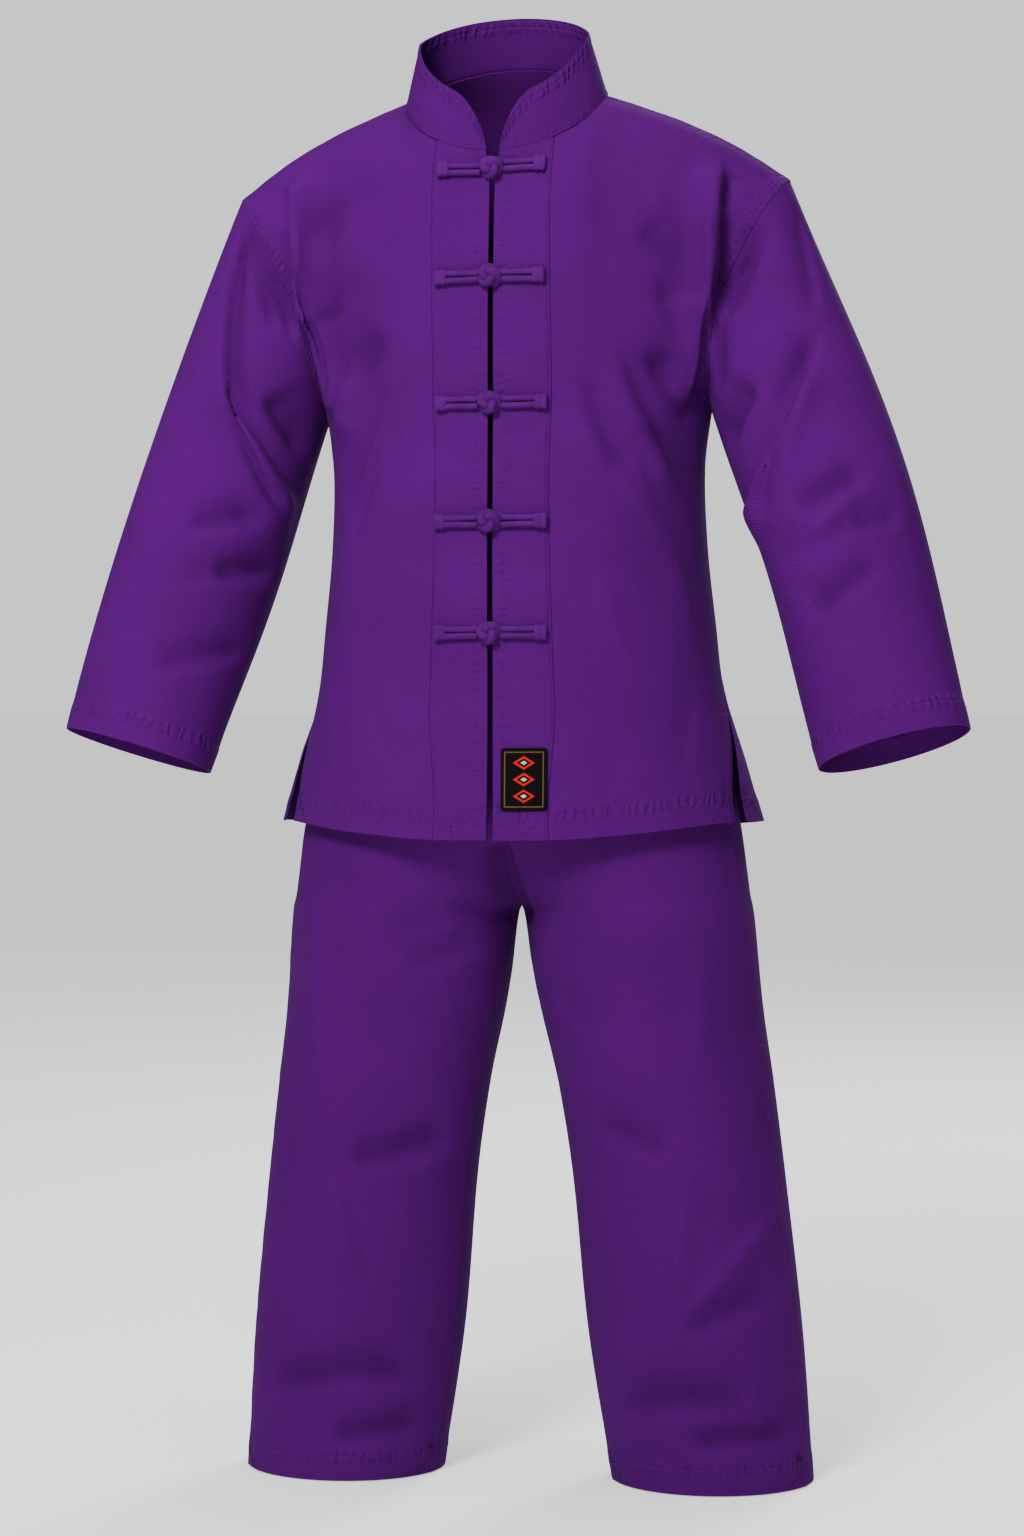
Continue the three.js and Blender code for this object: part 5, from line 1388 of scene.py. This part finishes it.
class UNIFORM_OT_stage(bpy.types.Operator):
    """Sets the pale floor, the soft lights and the camera"""
    bl_idname = "uniform.stage"
    bl_label = "Stage"

    def floor(self, context):
        half, z = FLOOR["half"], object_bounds()[0][2] - FLOOR["below"]
        mesh = bpy.data.meshes.new("floor")
        corners = [(x * half, y * half, z) for x, y in ((-1, -1), (1, -1), (1, 1), (-1, 1))]
        mesh.from_pydata(corners, [], [(0, 1, 2, 3)])
        floor = bpy.data.objects.new("floor", mesh)
        context.scene.collection.objects.link(floor)
        made, tree, shader = principled("stage_pale", "floor")
        shader.inputs["Base Color"].default_value = (FLOOR["grey"],) * 3 + (1,)
        shader.inputs["Emission Color"].default_value = (FLOOR["glow"],) * 3 + (1,)
        seen = tree.nodes.new("ShaderNodeLightPath").outputs["Is Camera Ray"]
        tree.links.new(seen, shader.inputs["Emission Strength"])
        mesh.materials.append(made)
        floor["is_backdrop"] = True

    def backdrop(self, context):
        world = bpy.data.worlds.new("studio")
        world.use_nodes = True
        tree = world.node_tree
        choice = tree.nodes.new("ShaderNodeMixShader")
        tree.links.new(tree.nodes.new("ShaderNodeLightPath").outputs["Is Camera Ray"], choice.inputs[0])
        light, seen = tree.nodes["Background"], tree.nodes.new("ShaderNodeBackground")
        for socket, background, key in ((1, light, "light"), (2, seen, "seen")):
            background.inputs["Color"].default_value = BACKDROP[key]
            background.inputs["Strength"].default_value = BACKDROP[key + "_power"]
            tree.links.new(background.outputs[0], choice.inputs[socket])
        tree.links.new(choice.outputs[0], tree.nodes["World Output"].inputs[0])
        context.scene.world = world

    def lights(self, context):
        above = bpy.data.lights.new("above", "SUN")
        above.energy, above.angle = ABOVE_POWER, math.radians(ABOVE_ANGLE)
        context.scene.collection.objects.link(bpy.data.objects.new("above", above))
        for name, (place, aim, size, power) in LIGHTS.items():
            data = bpy.data.lights.new(name, "AREA")
            data.shape, data.size, data.energy = "DISK", size, power
            obj = bpy.data.objects.new(name, data)
            context.scene.collection.objects.link(obj)
            way = np.array(aim, float) - np.array(place, float)
            obj.location = place
            obj.rotation_euler = (math.acos(-way[2] / np.linalg.norm(way)), 0, math.atan2(-way[0], way[1]))

    def camera(self, context):
        turn, distance = math.radians(CAMERA["turn"]), CAMERA["distance"]
        data = bpy.data.cameras.new("camera")
        data.lens = CAMERA["lens"]
        data.shift_x = CAMERA["shift_x"] / CAMERA["photo_height"]
        data.shift_y = CAMERA["shift_y"] / CAMERA["photo_height"]
        camera = bpy.data.objects.new("camera", data)
        context.scene.collection.objects.link(camera)
        camera.location = (distance * math.sin(turn), -distance * math.cos(turn), CAMERA["height"])
        camera.rotation_euler = (math.pi / 2, math.radians(CAMERA["roll"]), turn)
        context.scene.camera = camera

    def execute(self, context):
        for part in (self.floor, self.backdrop, self.lights, self.camera):
            part(context)
        return {"FINISHED"}


class UNIFORM_PT_panel(bpy.types.Panel):
    """Lists the sizes, the colours and the steps that make the uniform"""
    bl_idname = "UNIFORM_PT_panel"
    bl_label = "Tai Chi Uniform"
    bl_space_type = "VIEW_3D"
    bl_region_type = "UI"
    bl_category = "Uniform"

    def draw(self, context):
        layout = self.layout
        for group in (context.scene.uniform_sizes, context.scene.uniform_colours):
            for key in group.__annotations__:
                layout.prop(group, key)
        for step in STEPS:
            layout.operator(step.bl_idname)


STEPS = (UNIFORM_OT_stage, UNIFORM_OT_jacket, UNIFORM_OT_trousers, UNIFORM_OT_bands, UNIFORM_OT_frogs,
         UNIFORM_OT_badge, UNIFORM_OT_stitching)
CLASSES = (UniformSizes, UniformColours) + STEPS + (UNIFORM_PT_panel,)


def register():
    for cls in CLASSES:
        bpy.utils.register_class(cls)
    bpy.types.Scene.uniform_sizes = bpy.props.PointerProperty(type=UniformSizes)
    bpy.types.Scene.uniform_colours = bpy.props.PointerProperty(type=UniformColours)


def unregister():
    del bpy.types.Scene.uniform_colours
    del bpy.types.Scene.uniform_sizes
    for cls in reversed(CLASSES):
        bpy.utils.unregister_class(cls)


def main():
    register()
    bpy.ops.uniform.stage()
    bpy.ops.uniform.jacket()
    bpy.ops.uniform.trousers()
    bpy.ops.uniform.bands()
    bpy.ops.uniform.frogs()
    bpy.ops.uniform.badge()
    bpy.ops.uniform.stitching()


if __name__ == "__main__":
    main()
